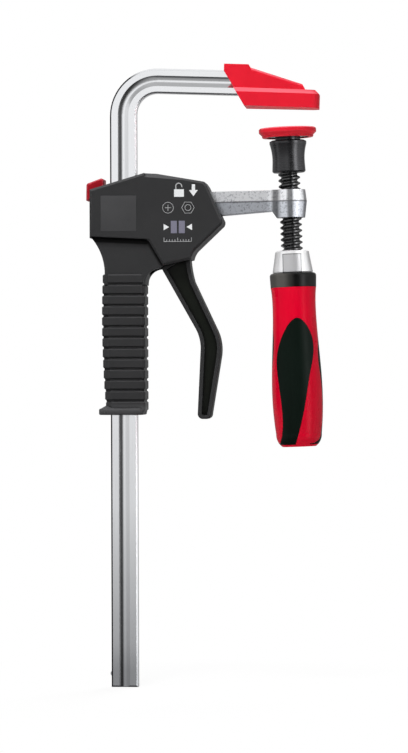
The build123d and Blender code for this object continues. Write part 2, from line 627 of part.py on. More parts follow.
# ---- drive spring: round the rail under the drive plate ----
drive_spring_top_z = drive_top_z - PLATE_THICKNESS - CAM_GAP
spring_floor_z = drive_spring_top_z - DRIVE_SPRING_LENGTH - CAM_GAP
with BuildPart() as drive_spring:
    drive_coil_height = DRIVE_SPRING_LENGTH - DRIVE_SPRING_WIRE
    drive_coil_foot = (rail_middle_x, 0, drive_spring_top_z - DRIVE_SPRING_LENGTH + DRIVE_SPRING_WIRE / 2)
    with BuildLine(Plane(origin=drive_coil_foot)) as drive_coil:
        Helix(
            pitch=drive_coil_height / DRIVE_SPRING_TURNS,
            height=drive_coil_height,
            radius=DRIVE_SPRING_RADIUS,
        )
    with BuildSketch(Plane(origin=drive_coil.line @ 0, z_dir=drive_coil.line % 0)) as drive_wire:
        Circle(DRIVE_SPRING_WIRE / 2)
    sweep(path=drive_coil.line, is_frenet=True)
drive_spring.part.label = "drive_spring"
export_step(drive_spring.part, "parts/drive_spring.step")

# ---- pump lever ----
cam_x = LEVER_PIVOT_X + CAM_REACH
cam_z = LEVER_PIVOT_Z - CAM_DROP
neck_left_x = drive_front_x + 4.6
neck_shoulder_z = drive_top_z + 1.4
neck_under_z = drive_top_z - PLATE_THICKNESS - 2.4


def tip_round_middle(side_point, flat_point):
    """Middle of the rounded corner between the lever's side and the flat of its tip."""
    corner_share = 1 - cos(radians(45))
    return (
        side_point[0] + (flat_point[0] - side_point[0]) * corner_share,
        flat_point[1] + (side_point[1] - flat_point[1]) * corner_share,
    )


def lever_grip_outline(root_left, root_right):
    """The lever's outline from its root in the housing down to the tip."""
    Polyline(root_left, LEVER_ROOT_LEFT, LEVER_ELBOW_LEFT)
    ThreePointArc(LEVER_ELBOW_LEFT, LEVER_ELBOW_MIDDLE_LEFT, LEVER_SHANK_LEFT)
    Line(LEVER_SHANK_LEFT, LEVER_TIP_LEFT)
    tip_flat_left = (LEVER_TIP_FLAT_LEFT_X, LEVER_TIP_Z)
    tip_flat_right = (LEVER_TIP_FLAT_RIGHT_X, LEVER_TIP_Z)
    ThreePointArc(LEVER_TIP_LEFT, tip_round_middle(LEVER_TIP_LEFT, tip_flat_left), tip_flat_left)
    Line(tip_flat_left, tip_flat_right)
    ThreePointArc(tip_flat_right, tip_round_middle(LEVER_TIP_RIGHT, tip_flat_right), LEVER_TIP_RIGHT)
    Line(LEVER_TIP_RIGHT, LEVER_SHANK_RIGHT)
    ThreePointArc(LEVER_SHANK_RIGHT, LEVER_ELBOW_MIDDLE_RIGHT, LEVER_ELBOW_RIGHT)
    Line(LEVER_ELBOW_RIGHT, LEVER_NECK_RIGHT)
    ThreePointArc(LEVER_NECK_RIGHT, LEVER_THROAT_RIGHT, LEVER_ROOT_RIGHT)
    Line(LEVER_ROOT_RIGHT, root_right)
    Line(root_right, root_left)


with BuildPart() as lever:
    with BuildSketch(Plane.XZ) as lever_outline:
        with BuildLine():
            lever_grip_outline((neck_left_x, neck_under_z), LEVER_SHOULDER)
        make_face()
        Polygon(
            (LEVER_PIVOT_X, LEVER_PIVOT_Z + LEVER_HEAD_RADIUS - 0.5),
            (LEVER_PIVOT_X + 5.5, LEVER_PIVOT_Z + 5.0),
            LEVER_SHOULDER,
            LEVER_ROOT_RIGHT,
            (neck_left_x, neck_under_z),
            (neck_left_x, neck_shoulder_z),
            (cam_x, cam_z),
            (LEVER_PIVOT_X, LEVER_PIVOT_Z - 4.0),
            align=None,
        )
        with Locations((LEVER_PIVOT_X, LEVER_PIVOT_Z)):
            Circle(LEVER_HEAD_RADIUS)
        with Locations((cam_x, cam_z)):
            Circle(CAM_ROUND)
    extrude(amount=LEVER_HALF_WIDTH, both=True)
    lever_rim_edges = lever.faces().sort_by(Axis.Y)[0].edges() + lever.faces().sort_by(Axis.Y)[-1].edges()
    chamfer(lever_rim_edges.filter_by(lambda edge: edge.center().Z < -118), length=0.9)
    for side_plane in (Plane.XZ.offset(LEVER_HALF_WIDTH), Plane.XZ.offset(-LEVER_HALF_WIDTH)):
        with BuildSketch(side_plane) as lever_pocket:
            with BuildLine():
                lever_grip_outline(LEVER_POCKET_TOP_LEFT, LEVER_POCKET_TOP_RIGHT)
            make_face()
            offset(amount=-LEVER_RIM, kind=Kind.INTERSECTION)
        pocket_way = -LEVER_POCKET_DEPTH if side_plane.origin.Y < 0 else LEVER_POCKET_DEPTH
        extrude(amount=pocket_way, mode=Mode.SUBTRACT)
    with BuildSketch(Plane.XZ) as lever_bore:
        with Locations((LEVER_PIVOT_X, LEVER_PIVOT_Z)):
            Circle(LEVER_PIN_DIAMETER / 2 + JOINT_CLEARANCE)
    extrude(amount=LEVER_HALF_WIDTH + 1, both=True, mode=Mode.SUBTRACT)
lever.part.label = "lever"
export_step(lever.part, "parts/lever.step")

# ---- lever pin, held in both shells ----
pin_half_length = HEAD_HALF_DEPTH - HOUSING_WALL + 0.6
with BuildPart() as lever_pin:
    with BuildSketch(Plane.XZ) as lever_pin_section:
        with Locations((LEVER_PIVOT_X, LEVER_PIVOT_Z)):
            Circle(LEVER_PIN_DIAMETER / 2)
    extrude(amount=pin_half_length, both=True)
    chamfer(lever_pin.edges().filter_by(GeomType.CIRCLE), length=0.4)
lever_pin.part.label = "lever_pin"
export_step(lever_pin.part, "parts/lever_pin.step")

# ---- housing: head and ribbed grip, moulded as a front and a back shell ----


def head_outline():
    """Side outline of the housing's head."""
    Polyline(
        (HEAD_LEFT_X, HEAD_LEFT_FOOT_Z),
        (HEAD_LEFT_X, HEAD_LEFT_TOP_Z),
        TOP_RIDGE_LEFT,
        TOP_RIDGE_RIGHT,
        TOP_FRONT,
        TOP_FRONT_LOWER,
        NOSE_UPPER,
    )
    ThreePointArc(NOSE_UPPER, NOSE, NOSE_UNDER)
    Line(NOSE_UNDER, UNDER_BEND)
    ThreePointArc(UNDER_BEND, UNDER_MIDDLE, ROOT_RIGHT)
    Polyline(ROOT_RIGHT, ROOT_LEFT, STEP_CORNER, (HEAD_LEFT_X, HEAD_LEFT_FOOT_Z))


def grip_back_at(z):
    """The grip's rear surface bows out gently between its neck and its foot."""
    middle_z = RIB_TOP_Z - RIB_PITCH * RIB_GROOVES * 0.36
    return GRIP_BACK_X + 0.00068 * (z - middle_z) ** 2


def grip_section(back_x, front_x, half_depth):
    """Plan section of the grip: an oblong with a large bevel behind and a small one in front."""
    Polygon(
        (back_x, GRIP_BACK_BEVEL - half_depth),
        (back_x + GRIP_BACK_BEVEL, -half_depth),
        (front_x - GRIP_FRONT_BEVEL, -half_depth),
        (front_x, GRIP_FRONT_BEVEL - half_depth),
        (front_x, half_depth - GRIP_FRONT_BEVEL),
        (front_x - GRIP_FRONT_BEVEL, half_depth),
        (back_x + GRIP_BACK_BEVEL, half_depth),
        (back_x, half_depth - GRIP_BACK_BEVEL),
        align=None,
    )


ribs_bottom_z = RIB_TOP_Z - RIB_PITCH * (RIB_GROOVES + 1)
grip_bottom_z = ribs_bottom_z - GRIP_FOOT_BELOW_RIBS
flange_top_z = grip_bottom_z + FLANGE_HEIGHT
with BuildPart() as grip_ribs:
    for rib in range(RIB_GROOVES + 1):
        rib_top_z = RIB_TOP_Z - rib * RIB_PITCH
        with BuildSketch(Plane.XY.offset(rib_top_z)) as rib_section:
            grip_section(grip_back_at(rib_top_z - RIB_PITCH / 2), GRIP_FRONT_X, GRIP_HALF_DEPTH)
        extrude(amount=-RIB_HEIGHT)
    chamfer(grip_ribs.edges().filter_by(Axis.Z, reverse=True), length=RIB_CHAMFER)

with BuildPart() as grip_flange:
    with BuildSketch(Plane.XY.offset(flange_top_z)) as flange_section:
        grip_section(GRIP_BACK_X - FLANGE_FLARE, GRIP_FRONT_X - 1.4, GRIP_HALF_DEPTH + FLANGE_FLARE)
    extrude(amount=-FLANGE_HEIGHT)
    fillet(grip_flange.edges(), radius=FLANGE_ROUND)

with BuildPart() as housing_body:
    with BuildSketch(Plane.XZ) as head_side:
        with BuildLine():
            head_outline()
        make_face()
    extrude(amount=HEAD_HALF_DEPTH, both=True)
    head_rims = housing_body.faces().sort_by(Axis.Y)[0].edges() + housing_body.faces().sort_by(Axis.Y)[-1].edges()
    chamfer(head_rims, length=HEAD_EDGE_ROUND)
    for side in (-1, 1):
        facet_wide_foot = Vector(TOP_RIDGE_LEFT[0], side * HEAD_HALF_DEPTH, TOP_RIDGE_LEFT[1] - FACET_DROP)
        facet_wide_top = Vector(TOP_RIDGE_LEFT[0], side * (HEAD_HALF_DEPTH - FACET_DEPTH), TOP_RIDGE_LEFT[1])
        facet_point = Vector(TOP_FRONT[0], side * HEAD_HALF_DEPTH, TOP_FRONT[1])
        facet_along = facet_point - facet_wide_foot
        facet_up = facet_wide_top - facet_wide_foot
        facet_out = facet_along.cross(facet_up) * -side
        facet_plane = Plane(origin=facet_wide_foot, x_dir=facet_along, z_dir=facet_out)
        facet_rise = facet_plane.to_local_coords(facet_wide_top) * 3
        with BuildSketch(facet_plane) as facet_outline:
            Polygon((0, 0), (facet_along.length, 0), (facet_along.length, facet_rise.Y), (facet_rise.X, facet_rise.Y), align=None)
        extrude(amount=2 * FACET_DEPTH, mode=Mode.SUBTRACT)
    neck_back_x = HEAD_LEFT_X + NECK_SIDE_STEP
    neck_top_z = HEAD_LEFT_FOOT_Z + HEAD_EDGE_ROUND + NECK_SIDE_STEP
    first_groove_z = RIB_TOP_Z - RIB_PITCH
    with BuildSketch(Plane.XZ) as neck_side:
        with BuildLine():
            Line((neck_back_x, neck_top_z), (neck_back_x, HEAD_LEFT_FOOT_Z))
            ThreePointArc((neck_back_x, HEAD_LEFT_FOOT_Z), NECK_BACK_MIDDLE, NECK_WAIST)
            Polyline(NECK_WAIST, (NECK_WAIST[0], first_groove_z), (ARCH_FOOT[0], first_groove_z), ARCH_FOOT)
            ThreePointArc(ARCH_FOOT, ARCH_MIDDLE, ARCH_TOP)
            Polyline(ARCH_TOP, ROOT_LEFT, (ROOT_LEFT[0], neck_top_z), (neck_back_x, neck_top_z))
        make_face()
    extrude(amount=NECK_HALF_DEPTH, both=True)
    # the grip's core, which follows its bowed back, its ribs and its flared foot
    for rib in range(RIB_GROOVES + 1):
        core_top_z = RIB_TOP_Z - rib * RIB_PITCH
        core_back_x = grip_back_at(core_top_z - RIB_PITCH / 2) + RIB_GROOVE_DEPTH
        with BuildSketch(Plane.XY.offset(core_top_z)) as core_section:
            grip_section(core_back_x, GRIP_FRONT_X - RIB_GROOVE_DEPTH, GRIP_HALF_DEPTH - RIB_GROOVE_DEPTH)
        extrude(amount=-RIB_PITCH)
    add(grip_ribs.part)
    add(grip_flange.part)
    with BuildSketch(Plane.XY.offset(flange_top_z)) as flare_section:
        flare_inset = FLANGE_FLARE - FLANGE_ROUND
        grip_section(GRIP_BACK_X - flare_inset, GRIP_FRONT_X - 1.4, GRIP_HALF_DEPTH + flare_inset)
    extrude(amount=FLARE_HEIGHT, taper=FLARE_SLOPE)
    # the hollow of the head
    with BuildSketch(Plane.XZ) as head_hollow:
        with BuildLine():
            head_outline()
        make_face()
        offset(amount=-HOUSING_WALL, kind=Kind.INTERSECTION)
    extrude(amount=HEAD_HALF_DEPTH - HOUSING_WALL, both=True, mode=Mode.SUBTRACT)
    # screw bosses, the bosses of the lever pin and the pads that hold the forging's guide
    with BuildSketch(Plane.XZ) as screw_bosses:
        with Locations(*SCREW_PLACES[:3]):
            Circle(SCREW_BOSS_RADIUS)
    extrude(amount=HEAD_HALF_DEPTH - 1, both=True)
    for side in (-1, 1):
        pad_start = Plane.XZ.offset(side * (GUIDE_HALF_WIDTH + HOUSING_CLEARANCE / 2))
        with BuildSketch(pad_start) as guide_pads:
            with Locations((rail_middle_x, GUIDE_TOP_Z - GUIDE_HEIGHT / 2)):
                Rectangle(RAIL_WIDTH, GUIDE_HEIGHT - 6)
        extrude(amount=side * (HEAD_HALF_DEPTH - 1 - GUIDE_HALF_WIDTH))
        boss_start = Plane.XZ.offset(side * (LEVER_HALF_WIDTH + HOUSING_CLEARANCE))
        with BuildSketch(boss_start) as pin_bosses:
            with Locations((LEVER_PIVOT_X, LEVER_PIVOT_Z)):
                Circle(LEVER_PIN_DIAMETER / 2 + 2.2)
        extrude(amount=side * (HEAD_HALF_DEPTH - 1 - LEVER_HALF_WIDTH))
    # ways for the rail, the drive plate, its spring, the lever, the tab and the arm
    with BuildSketch(Plane.XY.offset(grip_bottom_z - 1)) as rail_way:
        with Locations((rail_middle_x, 0)):
            Rectangle(RAIL_WIDTH + 2 * HOUSING_CLEARANCE, RAIL_THICKNESS + 2 * HOUSING_CLEARANCE)
    extrude(amount=TOP_RIDGE_LEFT[1] - grip_bottom_z + 2, mode=Mode.SUBTRACT)
    drive_way_floor_z = drive_top_z - PLATE_THICKNESS - 3.4
    with BuildSketch(Plane.XZ) as drive_way:
        Polygon(
            (drive_back_x - HOUSING_CLEARANCE, drive_way_floor_z),
            (drive_front_x + 3.0, drive_way_floor_z),
            (drive_front_x + 3.0, drive_top_z + 6),
            (guide_front_x - 3.0, drive_top_z + 6),
            (guide_front_x - 3.0, drive_top_z + HOUSING_CLEARANCE),
            (drive_back_x - HOUSING_CLEARANCE, drive_top_z + HOUSING_CLEARANCE),
            align=None,
        )
    extrude(amount=DRIVE_WIDTH / 2 + HOUSING_CLEARANCE, both=True, mode=Mode.SUBTRACT)
    with BuildSketch(Plane.XY.offset(spring_floor_z)) as spring_way:
        with Locations((rail_middle_x, 0)):
            Circle(DRIVE_SPRING_RADIUS + DRIVE_SPRING_WIRE / 2 + HOUSING_CLEARANCE)
    extrude(amount=drive_top_z - spring_floor_z, mode=Mode.SUBTRACT)
    with BuildSketch(Plane.XZ) as lever_way:
        Polygon(
            (LEVER_WAY_LEFT_X, LEVER_WAY_FOOT_Z),
            (LEVER_WAY_LEFT_X, LEVER_PIVOT_Z + LEVER_HEAD_RADIUS),
            (LEVER_ROOT_RIGHT[0] + LEVER_WAY_GAP, LEVER_PIVOT_Z + LEVER_HEAD_RADIUS),
            (LEVER_ROOT_RIGHT[0] + LEVER_WAY_GAP, LEVER_WAY_FOOT_Z),
            align=None,
        )
    extrude(amount=LEVER_HALF_WIDTH + HOUSING_CLEARANCE, both=True, mode=Mode.SUBTRACT)
    with BuildSketch(Plane.XZ) as tab_way:
        Polygon(
            (TAB_LEFT_X - 2, TAB_TOP_Z + 2),
            (TAB_FRONT_X + TAB_CLEARANCE, TAB_TOP_Z + 2),
            (TAB_FRONT_X + TAB_CLEARANCE, GUIDE_TOP_Z - 6.5),
            (TAB_LEFT_X - 2, GUIDE_TOP_Z - 6.5),
            align=None,
        )
    extrude(amount=TAB_HALF_WIDTH + TAB_CLEARANCE, both=True, mode=Mode.SUBTRACT)
    with BuildSketch(arm_side) as arm_way:
        arm_way_left = ROOT_RIGHT[0] - SPINDLE_X
        Polygon(
            (arm_way_left, -ARM_BOTTOM_DEPTH - HOUSING_CLEARANCE),
            (arm_way_left + 60, -ARM_BOTTOM_DEPTH - HOUSING_CLEARANCE),
            (arm_way_left + 60, ARM_TOP_HEIGHT + HOUSING_CLEARANCE),
            (arm_way_left, ARM_TOP_HEIGHT + HOUSING_CLEARANCE),
            align=None,
        )
    extrude(amount=ARM_HALF_WIDTH + HOUSING_CLEARANCE, both=True, mode=Mode.SUBTRACT)
    with BuildSketch(Plane.XZ) as pin_way:
        with Locations((LEVER_PIVOT_X, LEVER_PIVOT_Z)):
            Circle(LEVER_PIN_DIAMETER / 2)
    extrude(amount=pin_half_length + 0.1, both=True, mode=Mode.SUBTRACT)

screw_seat_y = GRIP_HALF_DEPTH - SCREW_HEAD_HEIGHT - 0.8
screw_tip_y = GRIP_HALF_DEPTH - SCREW_SHELL_COVER
with BuildPart() as housing_front:
    add(housing_body.part)
    split(bisect_by=Plane.XZ, keep=Keep.TOP)
    with BuildSketch(Plane.XZ) as front_screw_holes:
        with Locations(*SCREW_PLACES):
            Circle(SCREW_DIAMETER / 2)
    extrude(amount=screw_tip_y + 1.0, mode=Mode.SUBTRACT)
housing_front.part.label = "housing_front"
export_step(housing_front.part, "parts/housing_front.step")

with BuildPart() as housing_back:
    add(housing_body.part)
    split(bisect_by=Plane.XZ, keep=Keep.BOTTOM)
    with BuildSketch(Plane.XZ) as back_screw_holes:
        with Locations(*SCREW_PLACES):
            Circle(SCREW_DIAMETER / 2)
    extrude(amount=-HEAD_HALF_DEPTH - 1, mode=Mode.SUBTRACT)
    with BuildSketch(Plane.XZ.offset(-screw_seat_y)) as back_counterbores:
        with Locations(*SCREW_PLACES):
            Circle(SCREW_HEAD_DIAMETER / 2 + 0.1)
    extrude(amount=-HEAD_HALF_DEPTH, mode=Mode.SUBTRACT)
housing_back.part.label = "housing_back"
export_step(housing_back.part, "parts/housing_back.step")

# ---- housing screws: driven from the back into the front shell ----
with BuildPart() as housing_screws:
    with BuildSketch(Plane.XZ.offset(-screw_seat_y)) as screw_shanks:
        with Locations(*SCREW_PLACES):
            Circle(SCREW_DIAMETER / 2 - 0.02)
    extrude(amount=screw_seat_y + screw_tip_y)
    with BuildSketch(Plane.XZ.offset(-screw_seat_y)) as screw_heads:
        with Locations(*SCREW_PLACES):
            Circle(SCREW_HEAD_DIAMETER / 2)
    extrude(amount=-SCREW_HEAD_HEIGHT)
    screw_tops = housing_screws.faces().group_by(Axis.Y)[-1]
    chamfer(screw_tops.edges(), length=0.5)
    with BuildSketch(Plane.XZ.offset(-screw_seat_y - SCREW_HEAD_HEIGHT)) as screw_sockets:
        with Locations(*SCREW_PLACES):
            RegularPolygon(radius=1.5, side_count=6)
    extrude(amount=SCREW_SOCKET_DEPTH, mode=Mode.SUBTRACT)
housing_screws.part.label = "housing_screws"
export_step(housing_screws.part, "parts/housing_screws.step")

# ---- swivel collar: free on the spindle's journal, closed over the pad's ball ----
collar_foot_depth = COLLAR_TOP_DEPTH + COLLAR_HEIGHT
collar_floor_depth = collar_foot_depth - COLLAR_FLOOR
socket_radius = BALL_DIAMETER / 2 + JOINT_CLEARANCE
skirt_foot_depth = COLLAR_TOP_DEPTH + 1.0
recess_floor_depth = skirt_foot_depth + 1.3
socket_mouth_depth = BALL_DEPTH - socket_radius / 2
socket_mouth_radius = sqrt(socket_radius**2 - (socket_radius / 2) ** 2)
with BuildPart() as swivel_collar:
    with BuildSketch(spindle_side) as collar_half:
        with BuildLine():
            Polyline(
                (PLATE_NECK_DIAMETER / 2 + 1.3, -recess_floor_depth),
                (PLATE_NECK_DIAMETER / 2 + 1.3, -COLLAR_TOP_DEPTH),
                (COLLAR_TOP_DIAMETER / 2 - COLLAR_TOP_CHAMFER - 0.8, -COLLAR_TOP_DEPTH),
                (COLLAR_TOP_DIAMETER / 2, -COLLAR_TOP_DEPTH - COLLAR_TOP_CHAMFER),
                (COLLAR_TOP_DIAMETER / 2, -COLLAR_TOP_DEPTH - COLLAR_TOP_CHAMFER - 1.6),
            )
            Spline(
                (COLLAR_TOP_DIAMETER / 2, -COLLAR_TOP_DEPTH - COLLAR_TOP_CHAMFER - 1.6),
                (COLLAR_WAIST_DIAMETER / 2, -COLLAR_WAIST_DEPTH),
                (COLLAR_BOTTOM_DIAMETER / 2, -collar_foot_depth + 1.0),
                tangents=((-0.3, -1), (0.05, -1)),
            )
            Polyline(
                (COLLAR_BOTTOM_DIAMETER / 2, -collar_foot_depth + 1.0),
                (COLLAR_BOTTOM_DIAMETER / 2 - 1.0, -collar_foot_depth),
                (JOURNAL_DIAMETER / 2 + JOINT_CLEARANCE, -collar_foot_depth),
                (JOURNAL_DIAMETER / 2 + JOINT_CLEARANCE, -collar_floor_depth),
                (socket_radius, -collar_floor_depth),
                (socket_radius, -BALL_DEPTH),
            )
            RadiusArc((socket_radius, -BALL_DEPTH), (socket_mouth_radius, -socket_mouth_depth), -socket_radius)
            Polyline(
                (socket_mouth_radius, -socket_mouth_depth),
                (socket_mouth_radius + 1.6, -recess_floor_depth),
                (PLATE_NECK_DIAMETER / 2 + 1.3, -recess_floor_depth),
            )
        make_face()
    revolve(axis=spindle_axis)
swivel_collar.part.label = "swivel_collar"
export_step(swivel_collar.part, "parts/swivel_collar.step")

# ---- pressure plate: disc, skirt, stem and ball, turned in one piece ----
plate_foot_depth = PAD_HEIGHT - 0.7
with BuildPart() as pressure_plate:
    with BuildSketch(spindle_side) as plate_half:
        Polygon(
            (0, -PAD_FACE_THICKNESS - CAP_FIT),
            (PLATE_DIAMETER / 2 - 0.8, -PAD_FACE_THICKNESS - CAP_FIT),
            (PLATE_DIAMETER / 2, -PAD_FACE_THICKNESS - 0.9),
            (PLATE_DIAMETER / 2, -plate_foot_depth),
            (PLATE_NECK_DIAMETER / 2, -plate_foot_depth),
            (PLATE_NECK_DIAMETER / 2, -skirt_foot_depth + 0.4),
            (PLATE_NECK_DIAMETER / 2 - 0.4, -skirt_foot_depth),
            (STEM_DIAMETER / 2, -skirt_foot_depth),
            (STEM_DIAMETER / 2, -BALL_DEPTH + 2),
            (0, -BALL_DEPTH + 2),
            align=None,
        )
        with BuildLine():
            Line((0, -BALL_DEPTH + BALL_DIAMETER / 2), (0, -BALL_DEPTH - BALL_DIAMETER / 2))
            ThreePointArc(
                (0, -BALL_DEPTH - BALL_DIAMETER / 2),
                (BALL_DIAMETER / 2, -BALL_DEPTH),
                (0, -BALL_DEPTH + BALL_DIAMETER / 2),
            )
        make_face()
    revolve(axis=spindle_axis)
pressure_plate.part.label = "pressure_plate"
export_step(pressure_plate.part, "parts/pressure_plate.step")

# ---- pad cap: snapped over the pressure plate ----
pad_lower_radius = PAD_DIAMETER / 2 - PAD_STEP
with BuildPart() as pad_cap:
    with BuildSketch(spindle_side) as pad_half:
        Polygon(
            (0, 0),
            (PAD_DIAMETER / 2 - 0.8, 0),
            (PAD_DIAMETER / 2, -0.8),
            (PAD_DIAMETER / 2, -PAD_RIM),
            (pad_lower_radius, -PAD_RIM - PAD_STEP),
            (pad_lower_radius, -PAD_HEIGHT + 0.5),
            (pad_lower_radius - 0.5, -PAD_HEIGHT),
            (PLATE_DIAMETER / 2 - 0.8, -PAD_HEIGHT),
            (PLATE_DIAMETER / 2 - 0.4, -plate_foot_depth - CAP_FIT),
            (PLATE_DIAMETER / 2 + CAP_FIT, -plate_foot_depth - CAP_FIT),
            (PLATE_DIAMETER / 2 + CAP_FIT, -PAD_FACE_THICKNESS),
            (0, -PAD_FACE_THICKNESS),
            align=None,
        )
    revolve(axis=spindle_axis)
pad_cap.part.label = "pad_cap"
export_step(pad_cap.part, "parts/pad_cap.step")

# ---- spindle: journal, threaded length at its major diameter, and the tang in the handle ----
handle_top_depth = FERRULE_TOP_DEPTH + FERRULE_HEIGHT + HANDLE_RING_HEIGHT
handle_foot_depth = handle_top_depth + HANDLE_LENGTH
journal_top_depth = BALL_DEPTH + BALL_DIAMETER / 2 + 2 * JOINT_CLEARANCE
thread_top_depth = collar_foot_depth + 0.4
ring_depth = collar_floor_depth - SNAP_RING_THICKNESS - 0.3
groove_radius_journal = JOURNAL_DIAMETER / 2 - 0.8
with BuildPart() as spindle:
    with BuildSketch(spindle_side) as spindle_half:
        Polygon(
            (0, -journal_top_depth),
            (JOURNAL_DIAMETER / 2 - 0.5, -journal_top_depth),
            (JOURNAL_DIAMETER / 2, -journal_top_depth - 0.5),
            (JOURNAL_DIAMETER / 2, -ring_depth),
            (groove_radius_journal, -ring_depth),
            (groove_radius_journal, -ring_depth - SNAP_RING_THICKNESS - 0.1),
            (JOURNAL_DIAMETER / 2, -ring_depth - SNAP_RING_THICKNESS - 0.1),
            (JOURNAL_DIAMETER / 2, -thread_top_depth),
            (THREAD_DIAMETER / 2 - 1.2, -thread_top_depth),
            (THREAD_DIAMETER / 2, -thread_top_depth - 1.2),
            (THREAD_DIAMETER / 2, -handle_top_depth - TANG_LENGTH),
            (0, -handle_top_depth - TANG_LENGTH),
            align=None,
        )
    revolve(axis=spindle_axis)
    pin_plane = turned_side(90 + HANDLE_TURN)
    pin_depth = FERRULE_TOP_DEPTH + FERRULE_HEIGHT / 2
    with BuildSketch(pin_plane) as spindle_pin_hole:
        with Locations((0, -pin_depth)):
            Circle(HANDLE_PIN_DIAMETER / 2)
    extrude(amount=THREAD_DIAMETER, both=True, mode=Mode.SUBTRACT)
spindle.part.label = "spindle"
export_step(spindle.part, "parts/spindle.step")

# ---- retaining ring on the journal, inside the collar ----
with BuildPart() as retaining_ring:
    with BuildSketch(spindle_plan.offset(-ring_depth - 0.05)) as ring_outline:
        Circle(socket_radius - 0.15)
        Circle(groove_radius_journal + 0.05, mode=Mode.SUBTRACT)
        with Locations((0, socket_radius)):
            Rectangle(4.0, socket_radius + 2, mode=Mode.SUBTRACT)
    extrude(amount=-SNAP_RING_THICKNESS)
retaining_ring.part.label = "retaining_ring"
export_step(retaining_ring.part, "parts/retaining_ring.step")

# ---- ferrule, a cone pinned to the spindle ----
ferrule_foot_depth = FERRULE_TOP_DEPTH + FERRULE_HEIGHT
with BuildPart() as ferrule:
    with BuildSketch(spindle_side) as ferrule_half:
        Polygon(
            (THREAD_DIAMETER / 2 + CAP_FIT, -FERRULE_TOP_DEPTH),
            (FERRULE_TOP_DIAMETER / 2 - 0.8, -FERRULE_TOP_DEPTH),
            (FERRULE_TOP_DIAMETER / 2, -FERRULE_TOP_DEPTH - 0.8),
            (FERRULE_BOTTOM_DIAMETER / 2, -ferrule_foot_depth + 0.8),
            (FERRULE_BOTTOM_DIAMETER / 2 - 0.5, -ferrule_foot_depth),
            (THREAD_DIAMETER / 2 + CAP_FIT, -ferrule_foot_depth),
            align=None,
        )
    revolve(axis=spindle_axis)
    with BuildSketch(pin_plane) as ferrule_pin_hole:
        with Locations((0, -pin_depth)):
            Circle(HANDLE_PIN_DIAMETER / 2)
    extrude(amount=FERRULE_BOTTOM_DIAMETER, both=True, mode=Mode.SUBTRACT)
ferrule.part.label = "ferrule"
export_step(ferrule.part, "parts/ferrule.step")

# ---- handle pin ----
with BuildPart() as handle_pin:
    with BuildSketch(pin_plane) as handle_pin_section:
        with Locations((0, -pin_depth)):
            Circle(HANDLE_PIN_DIAMETER / 2)
    extrude(amount=FERRULE_TOP_DIAMETER / 2, both=True)
handle_pin.part.label = "handle_pin"
export_step(handle_pin.part, "parts/handle_pin.step")

# ---- handle ring ----
with BuildPart() as handle_ring:
    with BuildSketch(spindle_side) as handle_ring_half:
        with BuildLine():
            Polyline(
                (THREAD_DIAMETER / 2 + CAP_FIT, -ferrule_foot_depth),
                (FERRULE_BOTTOM_DIAMETER / 2, -ferrule_foot_depth),
            )
            ThreePointArc(
                (FERRULE_BOTTOM_DIAMETER / 2, -ferrule_foot_depth),
                (HANDLE_RING_DIAMETER / 2 - 0.5, -ferrule_foot_depth - 0.8),
                (HANDLE_RING_DIAMETER / 2, -ferrule_foot_depth - 2.2),
            )
            Polyline(
                (HANDLE_RING_DIAMETER / 2, -ferrule_foot_depth - 2.2),
                (HANDLE_TOP_DIAMETER / 2, -handle_top_depth),
                (THREAD_DIAMETER / 2 + CAP_FIT, -handle_top_depth),
                (THREAD_DIAMETER / 2 + CAP_FIT, -ferrule_foot_depth),
            )
        make_face()
    revolve(axis=spindle_axis)
handle_ring.part.label = "handle_ring"
export_step(handle_ring.part, "parts/handle_ring.step")

# ---- handle: hard core with three soft inlays that slant round it ----
waist_depth = handle_top_depth + 0.155 * HANDLE_LENGTH
belly_depth = handle_top_depth + 0.50 * HANDLE_LENGTH
lower_depth = handle_top_depth + 0.92 * HANDLE_LENGTH


def handle_half(inset):
    """Half section of the handle, its surface drawn in by an inset."""
    Line((0, -handle_foot_depth), (0, -handle_top_depth))
    Line((0, -handle_top_depth), (HANDLE_TOP_DIAMETER / 2 - inset, -handle_top_depth))
    Spline(
        (HANDLE_TOP_DIAMETER / 2 - inset, -handle_top_depth),
        (HANDLE_WAIST_DIAMETER / 2 - inset, -waist_depth),
        (HANDLE_BELLY_DIAMETER / 2 - inset, -belly_depth),
        (HANDLE_LOWER_DIAMETER / 2 - inset, -lower_depth),
        tangents=((-0.15, -1), (-0.12, -1)),
    )
    ThreePointArc(
        (HANDLE_LOWER_DIAMETER / 2 - inset, -lower_depth),
        (HANDLE_LOWER_DIAMETER / 2 - inset - 1.3, -handle_foot_depth + 3.6),
        (HANDLE_END_DIAMETER / 2 - inset, -handle_foot_depth),
    )
    Line((HANDLE_END_DIAMETER / 2 - inset, -handle_foot_depth), (0, -handle_foot_depth))


def inlay_height(share):
    """Height, on the spindle's side plane, of a share of the handle's length below its top."""
    return -(handle_top_depth + share * HANDLE_LENGTH)


with BuildPart() as inlay_shapes:
    for inlay in range(INLAY_COUNT):
        inlay_turn = HANDLE_TURN + inlay * 360 / INLAY_COUNT
        with BuildSketch(turned_side(inlay_turn)) as inlay_outline:
            with BuildLine():
                Spline(
                    (-16.2, -handle_foot_depth - 2),
                    (-14.3, inlay_height(0.57)),
                    (-10.4, inlay_height(0.31)),
                    (1.6, inlay_height(0.195)),
                    (10.4, inlay_height(0.285)),
                    (9.2, inlay_height(0.535)),
                    (2.5, inlay_height(0.81)),
                    (-4.5, -handle_foot_depth - 2),
                )
                Line((-4.5, -handle_foot_depth - 2), (-16.2, -handle_foot_depth - 2))
            make_face()
        extrude(amount=HANDLE_BELLY_DIAMETER)

